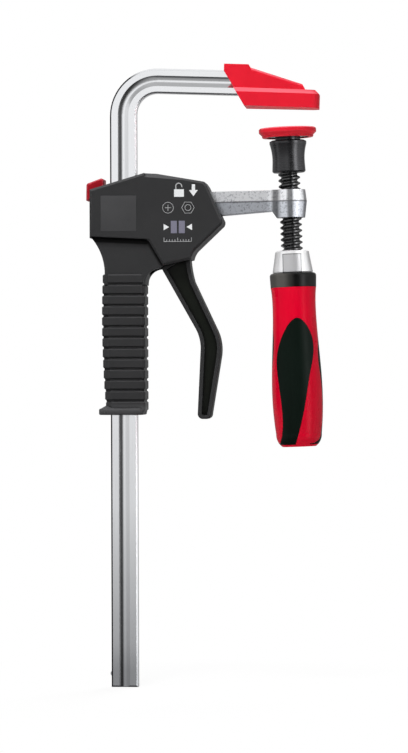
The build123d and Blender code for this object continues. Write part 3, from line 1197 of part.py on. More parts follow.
with BuildPart() as handle_inlays:
    with BuildSketch(spindle_side) as inlay_skin:
        with BuildLine():
            handle_half(0)
        make_face()
    revolve(axis=spindle_axis)
    with BuildSketch(spindle_side) as inlay_bed:
        with BuildLine():
            handle_half(INLAY_DEPTH)
        make_face()
    revolve(axis=spindle_axis, mode=Mode.SUBTRACT)
    with BuildSketch(spindle_plan.offset(-handle_foot_depth + INLAY_DEPTH)) as inlay_foot_cut:
        Circle(HANDLE_BELLY_DIAMETER)
    extrude(amount=-20, mode=Mode.SUBTRACT)
    add(inlay_shapes.part, mode=Mode.INTERSECT)
handle_inlays.part.label = "handle_inlays"
export_step(handle_inlays.part, "parts/handle_inlays.step")

with BuildPart() as handle_core:
    with BuildSketch(spindle_side) as core_half:
        with BuildLine():
            handle_half(0)
        make_face()
    revolve(axis=spindle_axis)
    add(handle_inlays.part, mode=Mode.SUBTRACT)
    with BuildSketch(spindle_plan.offset(-handle_top_depth + 1)) as tang_bore:
        Circle(THREAD_DIAMETER / 2 + CAP_FIT)
    extrude(amount=-TANG_LENGTH - 2, mode=Mode.SUBTRACT)
handle_core.part.label = "handle_core"
export_step(handle_core.part, "parts/handle_core.step")
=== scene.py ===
from math import cos, radians, sin, tan, tau

import bmesh
import bpy
from mathutils import Matrix, Vector


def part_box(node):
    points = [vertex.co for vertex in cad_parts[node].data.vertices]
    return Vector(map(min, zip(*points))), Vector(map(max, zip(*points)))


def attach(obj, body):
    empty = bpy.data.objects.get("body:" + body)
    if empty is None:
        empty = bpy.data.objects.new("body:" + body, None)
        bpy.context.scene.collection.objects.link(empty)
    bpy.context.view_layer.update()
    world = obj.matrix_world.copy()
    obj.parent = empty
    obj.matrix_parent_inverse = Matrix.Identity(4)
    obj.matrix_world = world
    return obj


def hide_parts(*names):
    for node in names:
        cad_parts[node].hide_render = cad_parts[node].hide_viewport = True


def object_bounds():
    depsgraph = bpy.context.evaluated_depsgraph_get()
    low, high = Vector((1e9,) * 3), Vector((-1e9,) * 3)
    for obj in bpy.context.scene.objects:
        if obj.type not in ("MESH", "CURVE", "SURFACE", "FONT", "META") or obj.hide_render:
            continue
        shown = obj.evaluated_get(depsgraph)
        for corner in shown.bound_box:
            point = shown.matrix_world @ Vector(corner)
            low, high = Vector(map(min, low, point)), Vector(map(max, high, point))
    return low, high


bl_info = {
    "name": "Bar Clamp Finish",
    "version": (1, 0, 0),
    "blender": (4, 5, 0),
    "location": "View3D > Sidebar > Bar Clamp",
    "description": "Finishes, screw thread, label and stage of a quick release bar clamp",
    "category": "Object",
}

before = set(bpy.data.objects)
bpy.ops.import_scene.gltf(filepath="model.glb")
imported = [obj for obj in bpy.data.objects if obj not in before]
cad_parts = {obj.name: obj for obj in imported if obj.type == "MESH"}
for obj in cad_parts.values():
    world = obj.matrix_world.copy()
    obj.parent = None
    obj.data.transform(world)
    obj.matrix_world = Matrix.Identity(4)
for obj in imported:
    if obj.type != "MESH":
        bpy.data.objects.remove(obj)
cad_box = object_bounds()

# lengths and heights are in metres, and the depths down the spindle's axis in millimetres
MM = 0.001
SPINDLE_LEAN = radians(2.0)
SPINDLE_HEAD = Vector((0.0045, 0.0, -0.0147))
COLLAR_FOOT_DEPTH = 32.9
FERRULE_TOP_DEPTH = 89.5
TANG_FOOT_DEPTH = 168.1
# the spindle's smooth journal, and how far the rods run into the thread
JOURNAL_TOP = -0.0232
JOURNAL_RADIUS = 0.005
ROD_OVERLAP = 0.0003
# the flange at the grip's foot and the ledges of the red mouldings, where painted highlights lie, and the
# head's step, under which a painted shadow band lies
FLANGE_DROP = 0.2162
FLANGE_THICKNESS = 0.0034
LEDGE_DEPTH = 0.0105
STEP_HEIGHT = -0.1017
STEP_SLOPE = -0.05116
STEP_SHADOW_BAND = 0.0026
STEP_CORNER_X = -0.0968
# the forging's lean and parting line
ARM_LEAN = radians(1.0)
PARTING_HEIGHT = -0.06818
# the ferrule's bare panel, the head's bare plate and the middle of the print
PANEL_SHIFT = 0.0003
PANEL_HALF_WIDTH = 0.0072
PANEL_HALF_HEIGHT = 0.0073
PANEL_MIDDLE_DEPTH = 0.0988
HEAD_PLATE_LEFT = -0.13060
HEAD_PLATE_RIGHT = -0.10460
HEAD_PLATE_FOOT = -0.08975
HEAD_PLATE_TOP = -0.06391
PRINT_MIDDLE_X = -0.0724
PRINT_MIDDLE_Z = -0.0885
# the camera: millimetres per pixel at the target, pixels in height, and the frame's roll
PIXEL_WIDTH = 0.73
FRAME_HEIGHT = 753.0
SENSOR_HEIGHT = 24.0
CAMERA_ROLL = 0.00324
HEAD_FRONT_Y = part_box("housing_front")[0][1]
LEVER_FRONT_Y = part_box("lever")[0][1]
TARGET = Vector((-0.05698, 0.0, -0.19547))
# what polished metal mirrors all round: degrees from the camera towards the right, and brightness
WALLS = (
    (-180, 0.5),
    (-140, 0.35),
    (-116, 0.7),
    (-95, 0.7),
    (-80, 1.3),
    (-66, 0.8),
    (-22, 0.85),
    (-12, 1.08),
    (0, 1.0),
    (6, 0.45),
    (12, 0.10),
    (28, 0.07),
    (38, 0.5),
    (44, 2.0),
    (48, 5.0),
    (60, 5.0),
    (66, 1.2),
    (100, 1.1),
    (135, 0.3),
    (180, 0.5),
)
WALLS_PEAK = 5.0


# ---- settings ----

class BarClampFinish(bpy.types.PropertyGroup):
    """Colours and surface sizes that a user would change."""

    jaw_red: bpy.props.FloatVectorProperty(
        name="Jaw red",
        description="Colour of the jaw cap, the pad cap and the release tab",
        subtype="COLOR",
        size=3,
        min=0.0,
        max=1.0,
        default=(0.70, 0.012, 0.028),
    )
    handle_red: bpy.props.FloatVectorProperty(
        name="Handle red",
        description="Colour of the handle's hard core",
        subtype="COLOR",
        size=3,
        min=0.0,
        max=1.0,
        default=(0.69, 0.0004, 0.022),
    )
    moulding_grey: bpy.props.FloatVectorProperty(
        name="Moulding grey",
        description="Colour of the housing, the grip and the lever",
        subtype="COLOR",
        size=3,
        min=0.0,
        max=1.0,
        default=(0.0288, 0.0288, 0.0298),
    )
    nickel: bpy.props.FloatVectorProperty(
        name="Nickel",
        description="Colour of the plated bar",
        subtype="COLOR",
        size=3,
        min=0.0,
        max=1.0,
        default=(0.86, 0.87, 0.89),
    )
    edge_round: bpy.props.FloatProperty(
        name="Edge round",
        description="Radius of the rounding that the mouldings show on their edges",
        unit="LENGTH",
        min=0.0,
        default=0.0005,
    )


class BarClampThread(bpy.types.PropertyGroup):
    """Sizes of the screw thread."""

    pitch: bpy.props.FloatProperty(
        name="Pitch",
        description="Distance between two crests",
        unit="LENGTH",
        default=0.0043,
    )
    major_radius: bpy.props.FloatProperty(
        name="Crest radius",
        description="Radius of the thread's crests",
        unit="LENGTH",
        default=0.00795,
    )
    minor_radius: bpy.props.FloatProperty(
        name="Root radius",
        description="Radius of the thread's roots",
        unit="LENGTH",
        default=0.0059,
    )
    turn: bpy.props.FloatProperty(
        name="Turn",
        description="Where round the spindle the thread starts",
        unit="ROTATION",
        default=0.0,
    )
    steps: bpy.props.IntProperty(
        name="Steps",
        description="Faces round one turn of the thread",
        min=12,
        default=40,
    )


class BarClampLabel(bpy.types.PropertyGroup):
    """Sizes and colours of the signs printed on the housing."""

    line: bpy.props.FloatProperty(
        name="Line",
        description="Half of the width of the printed lines",
        unit="LENGTH",
        default=0.00020,
    )
    proud: bpy.props.FloatProperty(
        name="Proud",
        description="How far the print stands on the housing",
        unit="LENGTH",
        default=0.00006,
    )
    print_colour: bpy.props.FloatVectorProperty(
        name="Print",
        description="Colour of the printed lines",
        subtype="COLOR",
        size=3,
        min=0.0,
        max=1.0,
        default=(0.72, 0.73, 0.74),
    )
    line_share: bpy.props.FloatProperty(
        name="Line share",
        description="How much of the print's brightness the thin lines keep",
        subtype="FACTOR",
        min=0.0,
        max=1.0,
        default=0.62,
    )


class BarClampStage(bpy.types.PropertyGroup):
    """Camera and light."""

    camera_turn: bpy.props.FloatProperty(
        name="Camera turn",
        description="How far the camera stands round to the spindle's side",
        unit="ROTATION",
        default=radians(4.2),
    )
    camera_distance: bpy.props.FloatProperty(
        name="Camera distance",
        description="From the camera to the clamp",
        unit="LENGTH",
        default=2.5,
    )
    key_power: bpy.props.FloatProperty(
        name="Key light",
        description="Power of the large lamp on the left, in watts",
        default=9.0,
    )
    fill_power: bpy.props.FloatProperty(
        name="Fill light",
        description="Power of the lamp on the right, in watts",
        default=1.8,
    )
    top_power: bpy.props.FloatProperty(
        name="Top light",
        description="Power of the lamp high in front, in watts",
        default=42.0,
    )
    back_power: bpy.props.FloatProperty(
        name="Back light",
        description="Power of the lamp behind the clamp, in watts",
        default=34.0,
    )


# ---- helpers for materials ----

def finish_tree(name):
    """A new material with its shader, ready for nodes."""
    material = bpy.data.materials.new(name)
    material.use_nodes = True
    tree = material.node_tree
    return material, tree, tree.nodes["Principled BSDF"]


def local_place(tree, stretch=(1.0, 1.0, 1.0)):
    """The piece's own coordinates, stretched along its axes."""
    place = tree.nodes.new("ShaderNodeTexCoord")
    mapping = tree.nodes.new("ShaderNodeMapping")
    mapping.inputs["Scale"].default_value = stretch
    tree.links.new(place.outputs["Object"], mapping.inputs["Vector"])
    return mapping.outputs["Vector"]


def mottle(tree, place, scale, detail=3.0, roughness=0.5):
    """Soft irregular variation from 0 to 1."""
    noise = tree.nodes.new("ShaderNodeTexNoise")
    noise.inputs["Scale"].default_value = scale
    noise.inputs["Detail"].default_value = detail
    noise.inputs["Roughness"].default_value = roughness
    tree.links.new(place, noise.inputs["Vector"])
    return noise.outputs["Fac"]


def graded(tree, value, stops):
    """A value read through stops of position and grey level or colour."""
    ramp = tree.nodes.new("ShaderNodeValToRGB")
    elements = ramp.color_ramp.elements
    while len(elements) < len(stops):
        elements.new(0.5)
    for element, (position, level) in zip(elements, stops):
        element.position = position
        element.color = (*level, 1.0) if isinstance(level, tuple) else (level, level, level, 1.0)
    tree.links.new(value, ramp.inputs["Fac"])
    return ramp.outputs["Color"]


def blended(tree, share, first, second, how="MIX"):
    """Two colours blended by a share, each a link or a fixed colour."""
    mix = tree.nodes.new("ShaderNodeMix")
    mix.data_type = "RGBA"
    mix.blend_type = how
    for socket, source in ((mix.inputs[0], share), (mix.inputs[6], first), (mix.inputs[7], second)):
        if isinstance(source, bpy.types.NodeSocket):
            tree.links.new(source, socket)
        elif isinstance(source, (int, float)):
            socket.default_value = source
        else:
            socket.default_value = (*source, 1.0)
    return mix.outputs[2]


def sums(tree, how, first, second, clamp=False):
    """One arithmetic step on links or fixed numbers. MULTIPLY_ADD adds a half."""
    node = tree.nodes.new("ShaderNodeMath")
    node.operation = how
    node.use_clamp = clamp
    for socket, source in zip(node.inputs, (first, second)):
        if isinstance(source, bpy.types.NodeSocket):
            tree.links.new(source, socket)
        else:
            socket.default_value = source
    return node.outputs[0]


def times(tree, first, second):
    """A product of links or fixed numbers."""
    return sums(tree, "MULTIPLY", first, second)


def magnitude(tree, value):
    """A value without its sign."""
    return sums(tree, "ABSOLUTE", value, 0.0)


def filtered(tree, first, second):
    """Two colours multiplied, each a link or a fixed colour."""
    return blended(tree, 1.0, first, second, "MULTIPLY")


def shade(colour, share):
    """A colour made darker or brighter by a share, up to white."""
    return tuple(min(1.0, level * share) for level in colour)


def parts_of(tree, vector):
    """X, Y and Z of a vector."""
    split = tree.nodes.new("ShaderNodeSeparateXYZ")
    tree.links.new(vector, split.inputs[0])
    return split.outputs


def surface_normal(tree):
    """X, Y and Z of the way that a face looks."""
    facing = tree.nodes.new("ShaderNodeNewGeometry")
    return parts_of(tree, facing.outputs["Normal"])


def rounded_normal(tree, radius):
    """The surface's normal, rounded over its edges."""
    bevel = tree.nodes.new("ShaderNodeBevel")
    bevel.samples = 6
    bevel.inputs["Radius"].default_value = radius
    return bevel.outputs["Normal"]


def edge_share(tree, rounded, gain):
    """How near a point is to a sharp edge, from 0 to 1."""
    here = tree.nodes.new("ShaderNodeNewGeometry")
    dot = tree.nodes.new("ShaderNodeVectorMath")
    dot.operation = "DOT_PRODUCT"
    tree.links.new(here.outputs["Normal"], dot.inputs[0])
    tree.links.new(rounded, dot.inputs[1])
    away = sums(tree, "SUBTRACT", 1.0, dot.outputs["Value"])
    return sums(tree, "MULTIPLY", away, gain, clamp=True)


def open_share(tree, reach, stops):
    """How open a point lies to its surroundings within a reach, read through stops."""
    cavity = tree.nodes.new("ShaderNodeAmbientOcclusion")
    cavity.samples = 8
    cavity.inputs["Distance"].default_value = reach
    return graded(tree, cavity.outputs["AO"], stops)


def upward_highlight_share(tree, most):
    """How far a face looks up, where a painted highlight lightens it, from 0 to the most."""
    height = surface_normal(tree)[2]
    return times(tree, graded(tree, height, ((0.42, 0.0), (0.62, 1.0))), most)


def relief(tree, shader, height, distance, strength=1.0, base=None):
    """Bumps that the light shows, over a rounded normal where one is given."""
    bump = tree.nodes.new("ShaderNodeBump")
    bump.inputs["Distance"].default_value = distance
    bump.inputs["Strength"].default_value = strength
    tree.links.new(height, bump.inputs["Height"])
    if base is not None:
        tree.links.new(base, bump.inputs["Normal"])
    tree.links.new(bump.outputs["Normal"], shader.inputs["Normal"])
    return bump.outputs["Normal"]


def mixed(tree, share, first, second):
    """Two shaders mixed by a share."""
    mix = tree.nodes.new("ShaderNodeMixShader")
    for socket, source in zip(mix.inputs, (share, first, second)):
        tree.links.new(source, socket)
    return mix.outputs["Shader"]


def glow(tree, colour, strength):
    """Light of one colour for the surroundings."""
    node = tree.nodes.new("ShaderNodeBackground")
    node.inputs["Color"].default_value = colour
    node.inputs["Strength"].default_value = strength
    return node.outputs["Background"]


def coat(piece, material):
    """Puts one finish on a whole piece."""
    piece.data.materials.clear()
    piece.data.materials.append(material)


def coat_nodes(material, *names):
    """Puts one finish on carried-over pieces of the frame."""
    for name in names:
        coat(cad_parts[name], material)


# ---- finishes ----

def moulding_finish(name, colour, edge_round, grain=0.00003, shine=0.46, light=1.0):
    """Fine-grained dark plastic, a little paler and smoother where hands wear its edges, the paleness there
    partly a painted highlight; painted highlights on faces that look up and on the grip's flange, painted
    shade in crevices and a painted shadow band under the head's step.
    """
    material, tree, shader = finish_tree(name)
    place = local_place(tree)
    grain_height = mottle(tree, place, 2600.0, 2.0, 0.6)
    cloud = mottle(tree, place, 38.0, 4.0, 0.6)
    rounded = rounded_normal(tree, edge_round)
    edge = edge_share(tree, rounded, 6.0)
    body = blended(tree, cloud, shade(colour, 0.86 * light), shade(colour, 1.18 * light))
    # the edges are paler from wear and from a painted highlight
    worn_and_highlit = blended(tree, edge, body, shade(colour, 1.9))
    # painted highlight on faces that look up
    looking_up = graded(tree, parts_of(tree, rounded)[2], ((0.12, 0.0), (0.50, 1.0)))
    upward = times(tree, looking_up, 0.9)
    worn_and_highlit = blended(tree, upward, worn_and_highlit, shade(colour, 2.3))
    across, _, up = parts_of(tree, place)
    drop = times(tree, up, -1.0)
    top, foot = FLANGE_DROP, FLANGE_DROP + FLANGE_THICKNESS
    # painted highlight on the grip's flange
    flange_highlight = graded(tree, drop, ((top - 0.0015, 0.0), (top, 0.9), (foot, 0.9), (foot + 0.001, 0.1)))
    worn_and_highlit = blended(tree, flange_highlight, worn_and_highlit, shade(colour, 2.9))
    # painted shade in crevices
    crevice_shade = open_share(tree, 0.0050, ((0.70, 0.02), (0.82, 1.0)))
    shaded = filtered(tree, worn_and_highlit, crevice_shade)
    # painted shadow: a near-black band under the head's step
    step = sums(tree, "ADD", STEP_HEIGHT, times(tree, across, STEP_SLOPE))
    below = times(tree, sums(tree, "SUBTRACT", step, up), 100.0)
    step_shadow_end = STEP_SHADOW_BAND * 100
    step_shadow = graded(tree, below, ((0.0, 1.0), (step_shadow_end - 0.03, 1.0), (step_shadow_end + 0.03, 0.0)))
    step_shadow = times(tree, step_shadow, sums(tree, "GREATER_THAN", below, -0.11))
    step_shadow = times(tree, step_shadow, sums(tree, "LESS_THAN", across, STEP_CORNER_X))
    tree.links.new(blended(tree, step_shadow, shaded, (0.0006, 0.0006, 0.0006)), shader.inputs["Base Color"])
    rough = graded(tree, cloud, ((0.3, shine - 0.05), (0.7, shine + 0.07)))
    tree.links.new(rough, shader.inputs["Roughness"])
    shader.inputs["Specular IOR Level"].default_value = 0.12
    relief(tree, shader, grain_height, grain, 0.55, rounded)
    return material


def lever_finish(name, colour, edge_round):
    """The housing's plastic, darker and smoother down in the lever's long pocket, where the darkness is
    painted shade; its edges are paler from wear and a painted highlight, with painted shade in crevices.
    """
    material, tree, shader = finish_tree(name)
    place = local_place(tree)
    grain_height = mottle(tree, place, 2600.0, 2.0, 0.6)
    cloud = mottle(tree, place, 34.0, 4.0, 0.6)
    rounded = rounded_normal(tree, edge_round)
    edge = edge_share(tree, rounded, 6.0)
    side = magnitude(tree, parts_of(tree, place)[1])
    rim = graded(tree, sums(tree, "DIVIDE", side, abs(LEVER_FRONT_Y)), ((0.80, 0.0), (0.93, 1.0)))
    body = blended(tree, cloud, shade(colour, 0.85), shade(colour, 1.15))
    # painted shade: the pocket inside the rim is near black
    pocket = blended(tree, rim, (0.0058, 0.0070, 0.0050), body)
    # the edges are paler from wear and from a painted highlight
    worn_and_highlit = blended(tree, edge, pocket, shade(colour, 1.5))
    # painted shade in crevices
    crevice_shade = open_share(tree, 0.0040, ((0.55, 0.25), (0.88, 1.0)))
    tree.links.new(filtered(tree, worn_and_highlit, crevice_shade), shader.inputs["Base Color"])
    rough = graded(tree, cloud, ((0.3, 0.40), (0.7, 0.52)))
    tree.links.new(rough, shader.inputs["Roughness"])
    shader.inputs["Specular IOR Level"].default_value = 0.14
    relief(tree, shader, grain_height, 0.00003, 0.5, rounded)
    return material


def red_moulding_finish(name, colour, edge_round):
    """Satin red plastic with faint flow marks, edges paler from wear and a painted highlight, and a painted
    highlight on the ledges at its front and back.
    """
    material, tree, shader = finish_tree(name)
    place = local_place(tree)
    cloud = mottle(tree, place, 55.0, 4.0, 0.55)
    flow = mottle(tree, local_place(tree, (1.0, 1.0, 7.0)), 60.0, 2.0, 0.5)
    grain_height = mottle(tree, place, 2100.0, 2.0, 0.6)
    rounded = rounded_normal(tree, edge_round)
    edge = edge_share(tree, rounded, 5.0)
    body = blended(tree, cloud, shade(colour, 0.88), shade(colour, 1.10))
    streaked = blended(tree, times(tree, flow, 0.10), body, (0.74, 0.03, 0.05))
    # the edges are paler from wear and from a painted highlight
    worn_and_highlit = blended(tree, times(tree, edge, 0.7), streaked, (0.92, 0.16, 0.20))
    # painted highlight on faces that look up at the front and back ledges
    depth = magnitude(tree, parts_of(tree, place)[1])
    outward = graded(tree, depth, ((LEDGE_DEPTH, 0.0), (LEDGE_DEPTH + 0.001, 1.0)))
    ledge_highlight = times(tree, upward_highlight_share(tree, 0.55), outward)
    tree.links.new(blended(tree, ledge_highlight, worn_and_highlit, (0.98, 0.24, 0.30)), shader.inputs["Base Color"])
    rough = graded(tree, cloud, ((0.3, 0.34), (0.7, 0.44)))
    tree.links.new(rough, shader.inputs["Roughness"])
    shader.inputs["Specular IOR Level"].default_value = 0.13
    relief(tree, shader, grain_height, 0.00002, 0.4, rounded)
    return material


def handle_core_finish(name, colour):
    """Smooth glossy red plastic of the handle."""
    material, tree, shader = finish_tree(name)
    place = local_place(tree)
    cloud = mottle(tree, place, 45.0, 3.0, 0.5)
    ripple = mottle(tree, place, 240.0, 2.0, 0.5)
    rounded = rounded_normal(tree, 0.0006)
    body = blended(tree, cloud, shade(colour, 0.90), shade(colour, 1.08))
    # the core's colour is darker towards its lower end
    drop = times(tree, parts_of(tree, place)[2], -1.0)
    darker_below = graded(tree, drop, ((0.150, 1.0), (0.175, 0.86)))
    tree.links.new(filtered(tree, body, darker_below), shader.inputs["Base Color"])
    rough = graded(tree, cloud, ((0.3, 0.24), (0.7, 0.33)))
    tree.links.new(rough, shader.inputs["Roughness"])
    shader.inputs["Specular IOR Level"].default_value = 0.10
    relief(tree, shader, ripple, 0.00003, 0.25, rounded)
    return material


def soft_grip_finish(name, colour, shine, level, side_sheen_share=0.0):
    """Black rubber with a fine even texture, with a painted highlight on faces turned towards the bar's side
    where asked.
    """
    material, tree, shader = finish_tree(name)
    place = local_place(tree)
    cloud = mottle(tree, place, 60.0, 3.0, 0.5)
    grain_height = mottle(tree, place, 1900.0, 2.0, 0.6)
    rounded = rounded_normal(tree, 0.0004)
    body = blended(tree, cloud, shade(colour, 0.8), shade(colour, 1.25))
    sideways = sums(tree, "MULTIPLY_ADD", surface_normal(tree)[0], 0.5)
    # painted highlight on faces turned towards the bar's side
    painted_side_sheen = graded(tree, sideways, ((0.05, 0.5), (0.18, 1.0), (0.32, 0.9), (0.44, 0.3), (0.56, 0.0)))
    body = blended(tree, times(tree, painted_side_sheen, side_sheen_share), body, (0.10, 0.095, 0.088))
    tree.links.new(body, shader.inputs["Base Color"])
    rough = graded(tree, cloud, ((0.3, shine - 0.05), (0.7, shine + 0.06)))
    tree.links.new(rough, shader.inputs["Roughness"])
    shader.inputs["Specular IOR Level"].default_value = level
    relief(tree, shader, grain_height, 0.00002, 0.5, rounded)
    return material


def nickel_finish(name, colour):
    """Bright plated bar: drawn lines along it, a cloudy film, small handling marks, a darker foot, and a
    painted dark reflection on the bevels turned left.
    """
    material, tree, shader = finish_tree(name)
    place = local_place(tree)
    along_bar = mottle(tree, local_place(tree, (1.0, 1.0, 0.012)), 2300.0, 3.0, 0.6)
    along_arm = mottle(tree, local_place(tree, (0.012, 1.0, 1.0)), 2300.0, 3.0, 0.6)
    height = parts_of(tree, place)[2]
    arm_share = graded(tree, sums(tree, "MULTIPLY_ADD", height, 20.0), ((0.45, 0.0), (0.60, 1.0)))
    drawn = blended(tree, arm_share, along_bar, along_arm)
    film = mottle(tree, place, 26.0, 5.0, 0.6)
    specks = graded(tree, mottle(tree, place, 900.0, 2.0, 0.7), ((0.26, 1.0), (0.31, 0.0)))
    # the bar's colour is darker towards its foot
    foot = graded(tree, times(tree, height, -1.0), ((0.29, 0.0), (0.39, 0.5), (0.41, 0.9)))
    clean = blended(tree, film, shade(colour, 0.92), colour)
    darker_at_foot = blended(tree, foot, clean, (0.42, 0.43, 0.45))
    marked = blended(tree, times(tree, specks, 0.35), darker_at_foot, (0.25, 0.25, 0.26))
    sideways, deep, _ = surface_normal(tree)
    slanting = graded(tree, magnitude(tree, deep), ((0.15, 0.0), (0.35, 1.0), (0.80, 1.0), (0.88, 0.0)))
    # painted dark reflection on the bevels turned left
    outer_bevel_dark_reflection = times(tree, slanting, sums(tree, "LESS_THAN", sideways, -0.4))
    tree.links.new(blended(tree, outer_bevel_dark_reflection, marked, (0.06, 0.06, 0.065)), shader.inputs["Base Color"])
    shader.inputs["Metallic"].default_value = 1.0
    rough = graded(tree, blended(tree, 0.5, film, drawn), ((0.3, 0.09), (0.7, 0.19)))
    inner_bevel = times(tree, slanting, sums(tree, "GREATER_THAN", sideways, 0.2))
    tree.links.new(blended(tree, inner_bevel, rough, (0.38, 0.38, 0.38)), shader.inputs["Roughness"])
    rounded = rounded_normal(tree, 0.0003)
    relief(tree, shader, drawn, 0.000006, 0.5, rounded)
    return material


def forging_finish(name):
    """Zinc-plated drop forging: hammer-scale lumps, fine pits and a cloudy lustre, with painted shade on its
    downward and left-facing faces, in the neck and in the valley at the boss, and a painted reflection on
    the boss.
    """
    material, tree, shader = finish_tree(name)
    place = local_place(tree)
    lumps = mottle(tree, place, 700.0, 4.0, 0.62)
    pits = mottle(tree, place, 1900.0, 2.0, 0.6)
    cloud = mottle(tree, place, 60.0, 4.0, 0.6)
    surface = blended(tree, 0.35, lumps, pits)
    sideways, _, up = surface_normal(tree)
    upward = graded(tree, up, ((0.0, 0.0), (0.10, 1.0)))
    # painted shade on faces turned left
    left_face_shade = graded(tree, sums(tree, "MULTIPLY_ADD", sideways, 0.5), ((0.10, 0.28), (0.26, 1.0)))
    body = blended(tree, cloud, (0.86, 0.87, 0.90), (0.97, 0.98, 1.0))
    # painted shade on faces that look down
    underside_shade = blended(tree, upward, (0.80, 0.82, 0.86), (1.0, 1.0, 1.0))
    hollows = graded(tree, lumps, ((0.34, 0.7), (0.48, 0.0)))
    shaded = blended(tree, hollows, body, (0.36, 0.37, 0.40))
    across, _, high = parts_of(tree, place)
    over_parting = sums(tree, "SUBTRACT", high, PARTING_HEIGHT)
    parting = sums(tree, "ADD", times(tree, across, -tan(ARM_LEAN)), over_parting)
    parting = sums(tree, "ADD", magnitude(tree, parting), times(tree, lumps, 0.0005))
    seam = graded(tree, times(tree, parting, 1000.0), ((0.65, 1.0), (1.0, 0.0)))
    # painted shade in the neck and other concave fillets
    neck_shade = open_share(tree, 0.006, ((0.45, 0.3), (0.80, 1.0)))
    toned = filtered(tree, filtered(tree, shaded, underside_shade), neck_shade)
    toned = filtered(tree, toned, left_face_shade)
    # painted shade in the valley where the arm meets the boss, along X
    along = times(tree, sums(tree, "ADD", across, 0.03), 10.0)
    valley_shade = graded(tree, along, ((0.226, 1.0), (0.246, 0.22), (0.276, 0.22), (0.300, 1.0)))
    toned = filtered(tree, toned, valley_shade)
    # painted reflection on the boss: full colour round its sides, darker in front and on faces turned fully
    # right
    side = sums(tree, "MULTIPLY_ADD", sideways, 0.5)
    boss_reflection_stops = ((0.39, 1.0), (0.47, 0.28), (0.57, 0.28), (0.64, 1.0), (0.89, 1.0), (0.95, 0.35))
    boss_reflection = graded(tree, side, boss_reflection_stops)
    boss = graded(tree, along, ((0.285, 0.0), (0.300, 1.0)))
    toned = filtered(tree, toned, blended(tree, boss, (1.0, 1.0, 1.0), boss_reflection))
    seamed = blended(tree, times(tree, seam, 0.75), toned, (0.12, 0.12, 0.13))
    tree.links.new(seamed, shader.inputs["Base Color"])
    tree.links.new(graded(tree, along, ((0.190, 0.9), (0.240, 0.45))), shader.inputs["Metallic"])
    rough = graded(tree, lumps, ((0.3, 0.46), (0.7, 0.34)))
    tree.links.new(rough, shader.inputs["Roughness"])
    rounded = rounded_normal(tree, 0.0007)
    relief(tree, shader, surface, 0.00016, 0.6, rounded)
    return material


def turned_finish(name, colour, shine, groove=0.00001, metal=1.0):
    """Turned metal: fine rings round the spindle's axis."""
    material, tree, shader = finish_tree(name)
    place = local_place(tree)
    rings = mottle(tree, local_place(tree, (0.02, 0.02, 1.0)), 2600.0, 3.0, 0.6)
    cloud = mottle(tree, place, 70.0, 4.0, 0.6)
    body = blended(tree, cloud, shade(colour, 0.85), shade(colour, 1.1))
    tree.links.new(body, shader.inputs["Base Color"])
    shader.inputs["Metallic"].default_value = metal
    rough = graded(tree, blended(tree, 0.5, cloud, rings), ((0.3, shine - 0.06), (0.7, shine + 0.08)))
    tree.links.new(rough, shader.inputs["Roughness"])
    relief(tree, shader, rings, groove, 0.5, rounded_normal(tree, 0.0003))
    return material


def ferrule_finish(name):
    """Satin turned metal with a plain engraved panel on its front."""
    material, tree, shader = finish_tree(name)
    place = local_place(tree)
    centred = tree.nodes.new("ShaderNodeMapping")
    centred.vector_type = "TEXTURE"
    centred.inputs["Location"].default_value = SPINDLE_HEAD
    centred.inputs["Rotation"].default_value = (0.0, -SPINDLE_LEAN, 0.0)
    tree.links.new(place, centred.inputs["Vector"])
    across, deep, up = parts_of(tree, centred.outputs["Vector"])
    from_middle = magnitude(tree, sums(tree, "SUBTRACT", across, PANEL_SHIFT))
    wide = sums(tree, "DIVIDE", from_middle, PANEL_HALF_WIDTH)
    from_middle = magnitude(tree, sums(tree, "ADD", up, PANEL_MIDDLE_DEPTH))
    tall = sums(tree, "DIVIDE", from_middle, PANEL_HALF_HEIGHT)
    reach = sums(tree, "MAXIMUM", wide, tall)
    front = sums(tree, "LESS_THAN", deep, 0.0)
    line = graded(tree, reach, ((0.86, 0.0), (0.89, 1.0), (0.95, 1.0), (0.98, 0.0)))
    line = times(tree, line, front)
    panel = times(tree, sums(tree, "LESS_THAN", reach, 0.94), front)
    rings = mottle(tree, local_place(tree, (0.02, 0.02, 1.0)), 2600.0, 3.0, 0.6)
    cloud = mottle(tree, place, 70.0, 4.0, 0.6)
    body = blended(tree, cloud, (0.88, 0.88, 0.89), (0.97, 0.97, 0.98))
    panel_and_side_shade = blended(tree, panel, body, (0.52, 0.52, 0.53))
    # painted shade darkens the faces turned sideways
    sideways = magnitude(tree, surface_normal(tree)[0])
    panel_and_side_shade = filtered(tree, panel_and_side_shade, graded(tree, sideways, ((0.78, 1.0), (0.94, 0.6))))
    tree.links.new(blended(tree, line, panel_and_side_shade, (0.22, 0.22, 0.23)), shader.inputs["Base Color"])
    shader.inputs["Metallic"].default_value = 0.4
    rough = graded(tree, blended(tree, 0.5, cloud, rings), ((0.3, 0.30), (0.7, 0.42)))
    tree.links.new(rough, shader.inputs["Roughness"])
    cut = sums(tree, "SUBTRACT", rings, times(tree, line, 8.0))
    relief(tree, shader, cut, 0.00001, 0.5, rounded_normal(tree, 0.0003))
    return material


def print_finish(name, colour):
    """Worn pad-printed ink."""
    material, tree, shader = finish_tree(name)
    place = local_place(tree)
    gaps = graded(tree, mottle(tree, place, 1400.0, 3.0, 0.65), ((0.32, 1.0), (0.42, 0.0)))
    body = blended(tree, times(tree, gaps, 0.6), colour, shade(colour, 0.35))
    tree.links.new(body, shader.inputs["Base Color"])
    rough = graded(tree, gaps, ((0.0, 0.45), (1.0, 0.6)))
    tree.links.new(rough, shader.inputs["Roughness"])
    return material


# ---- helpers for shapes ----

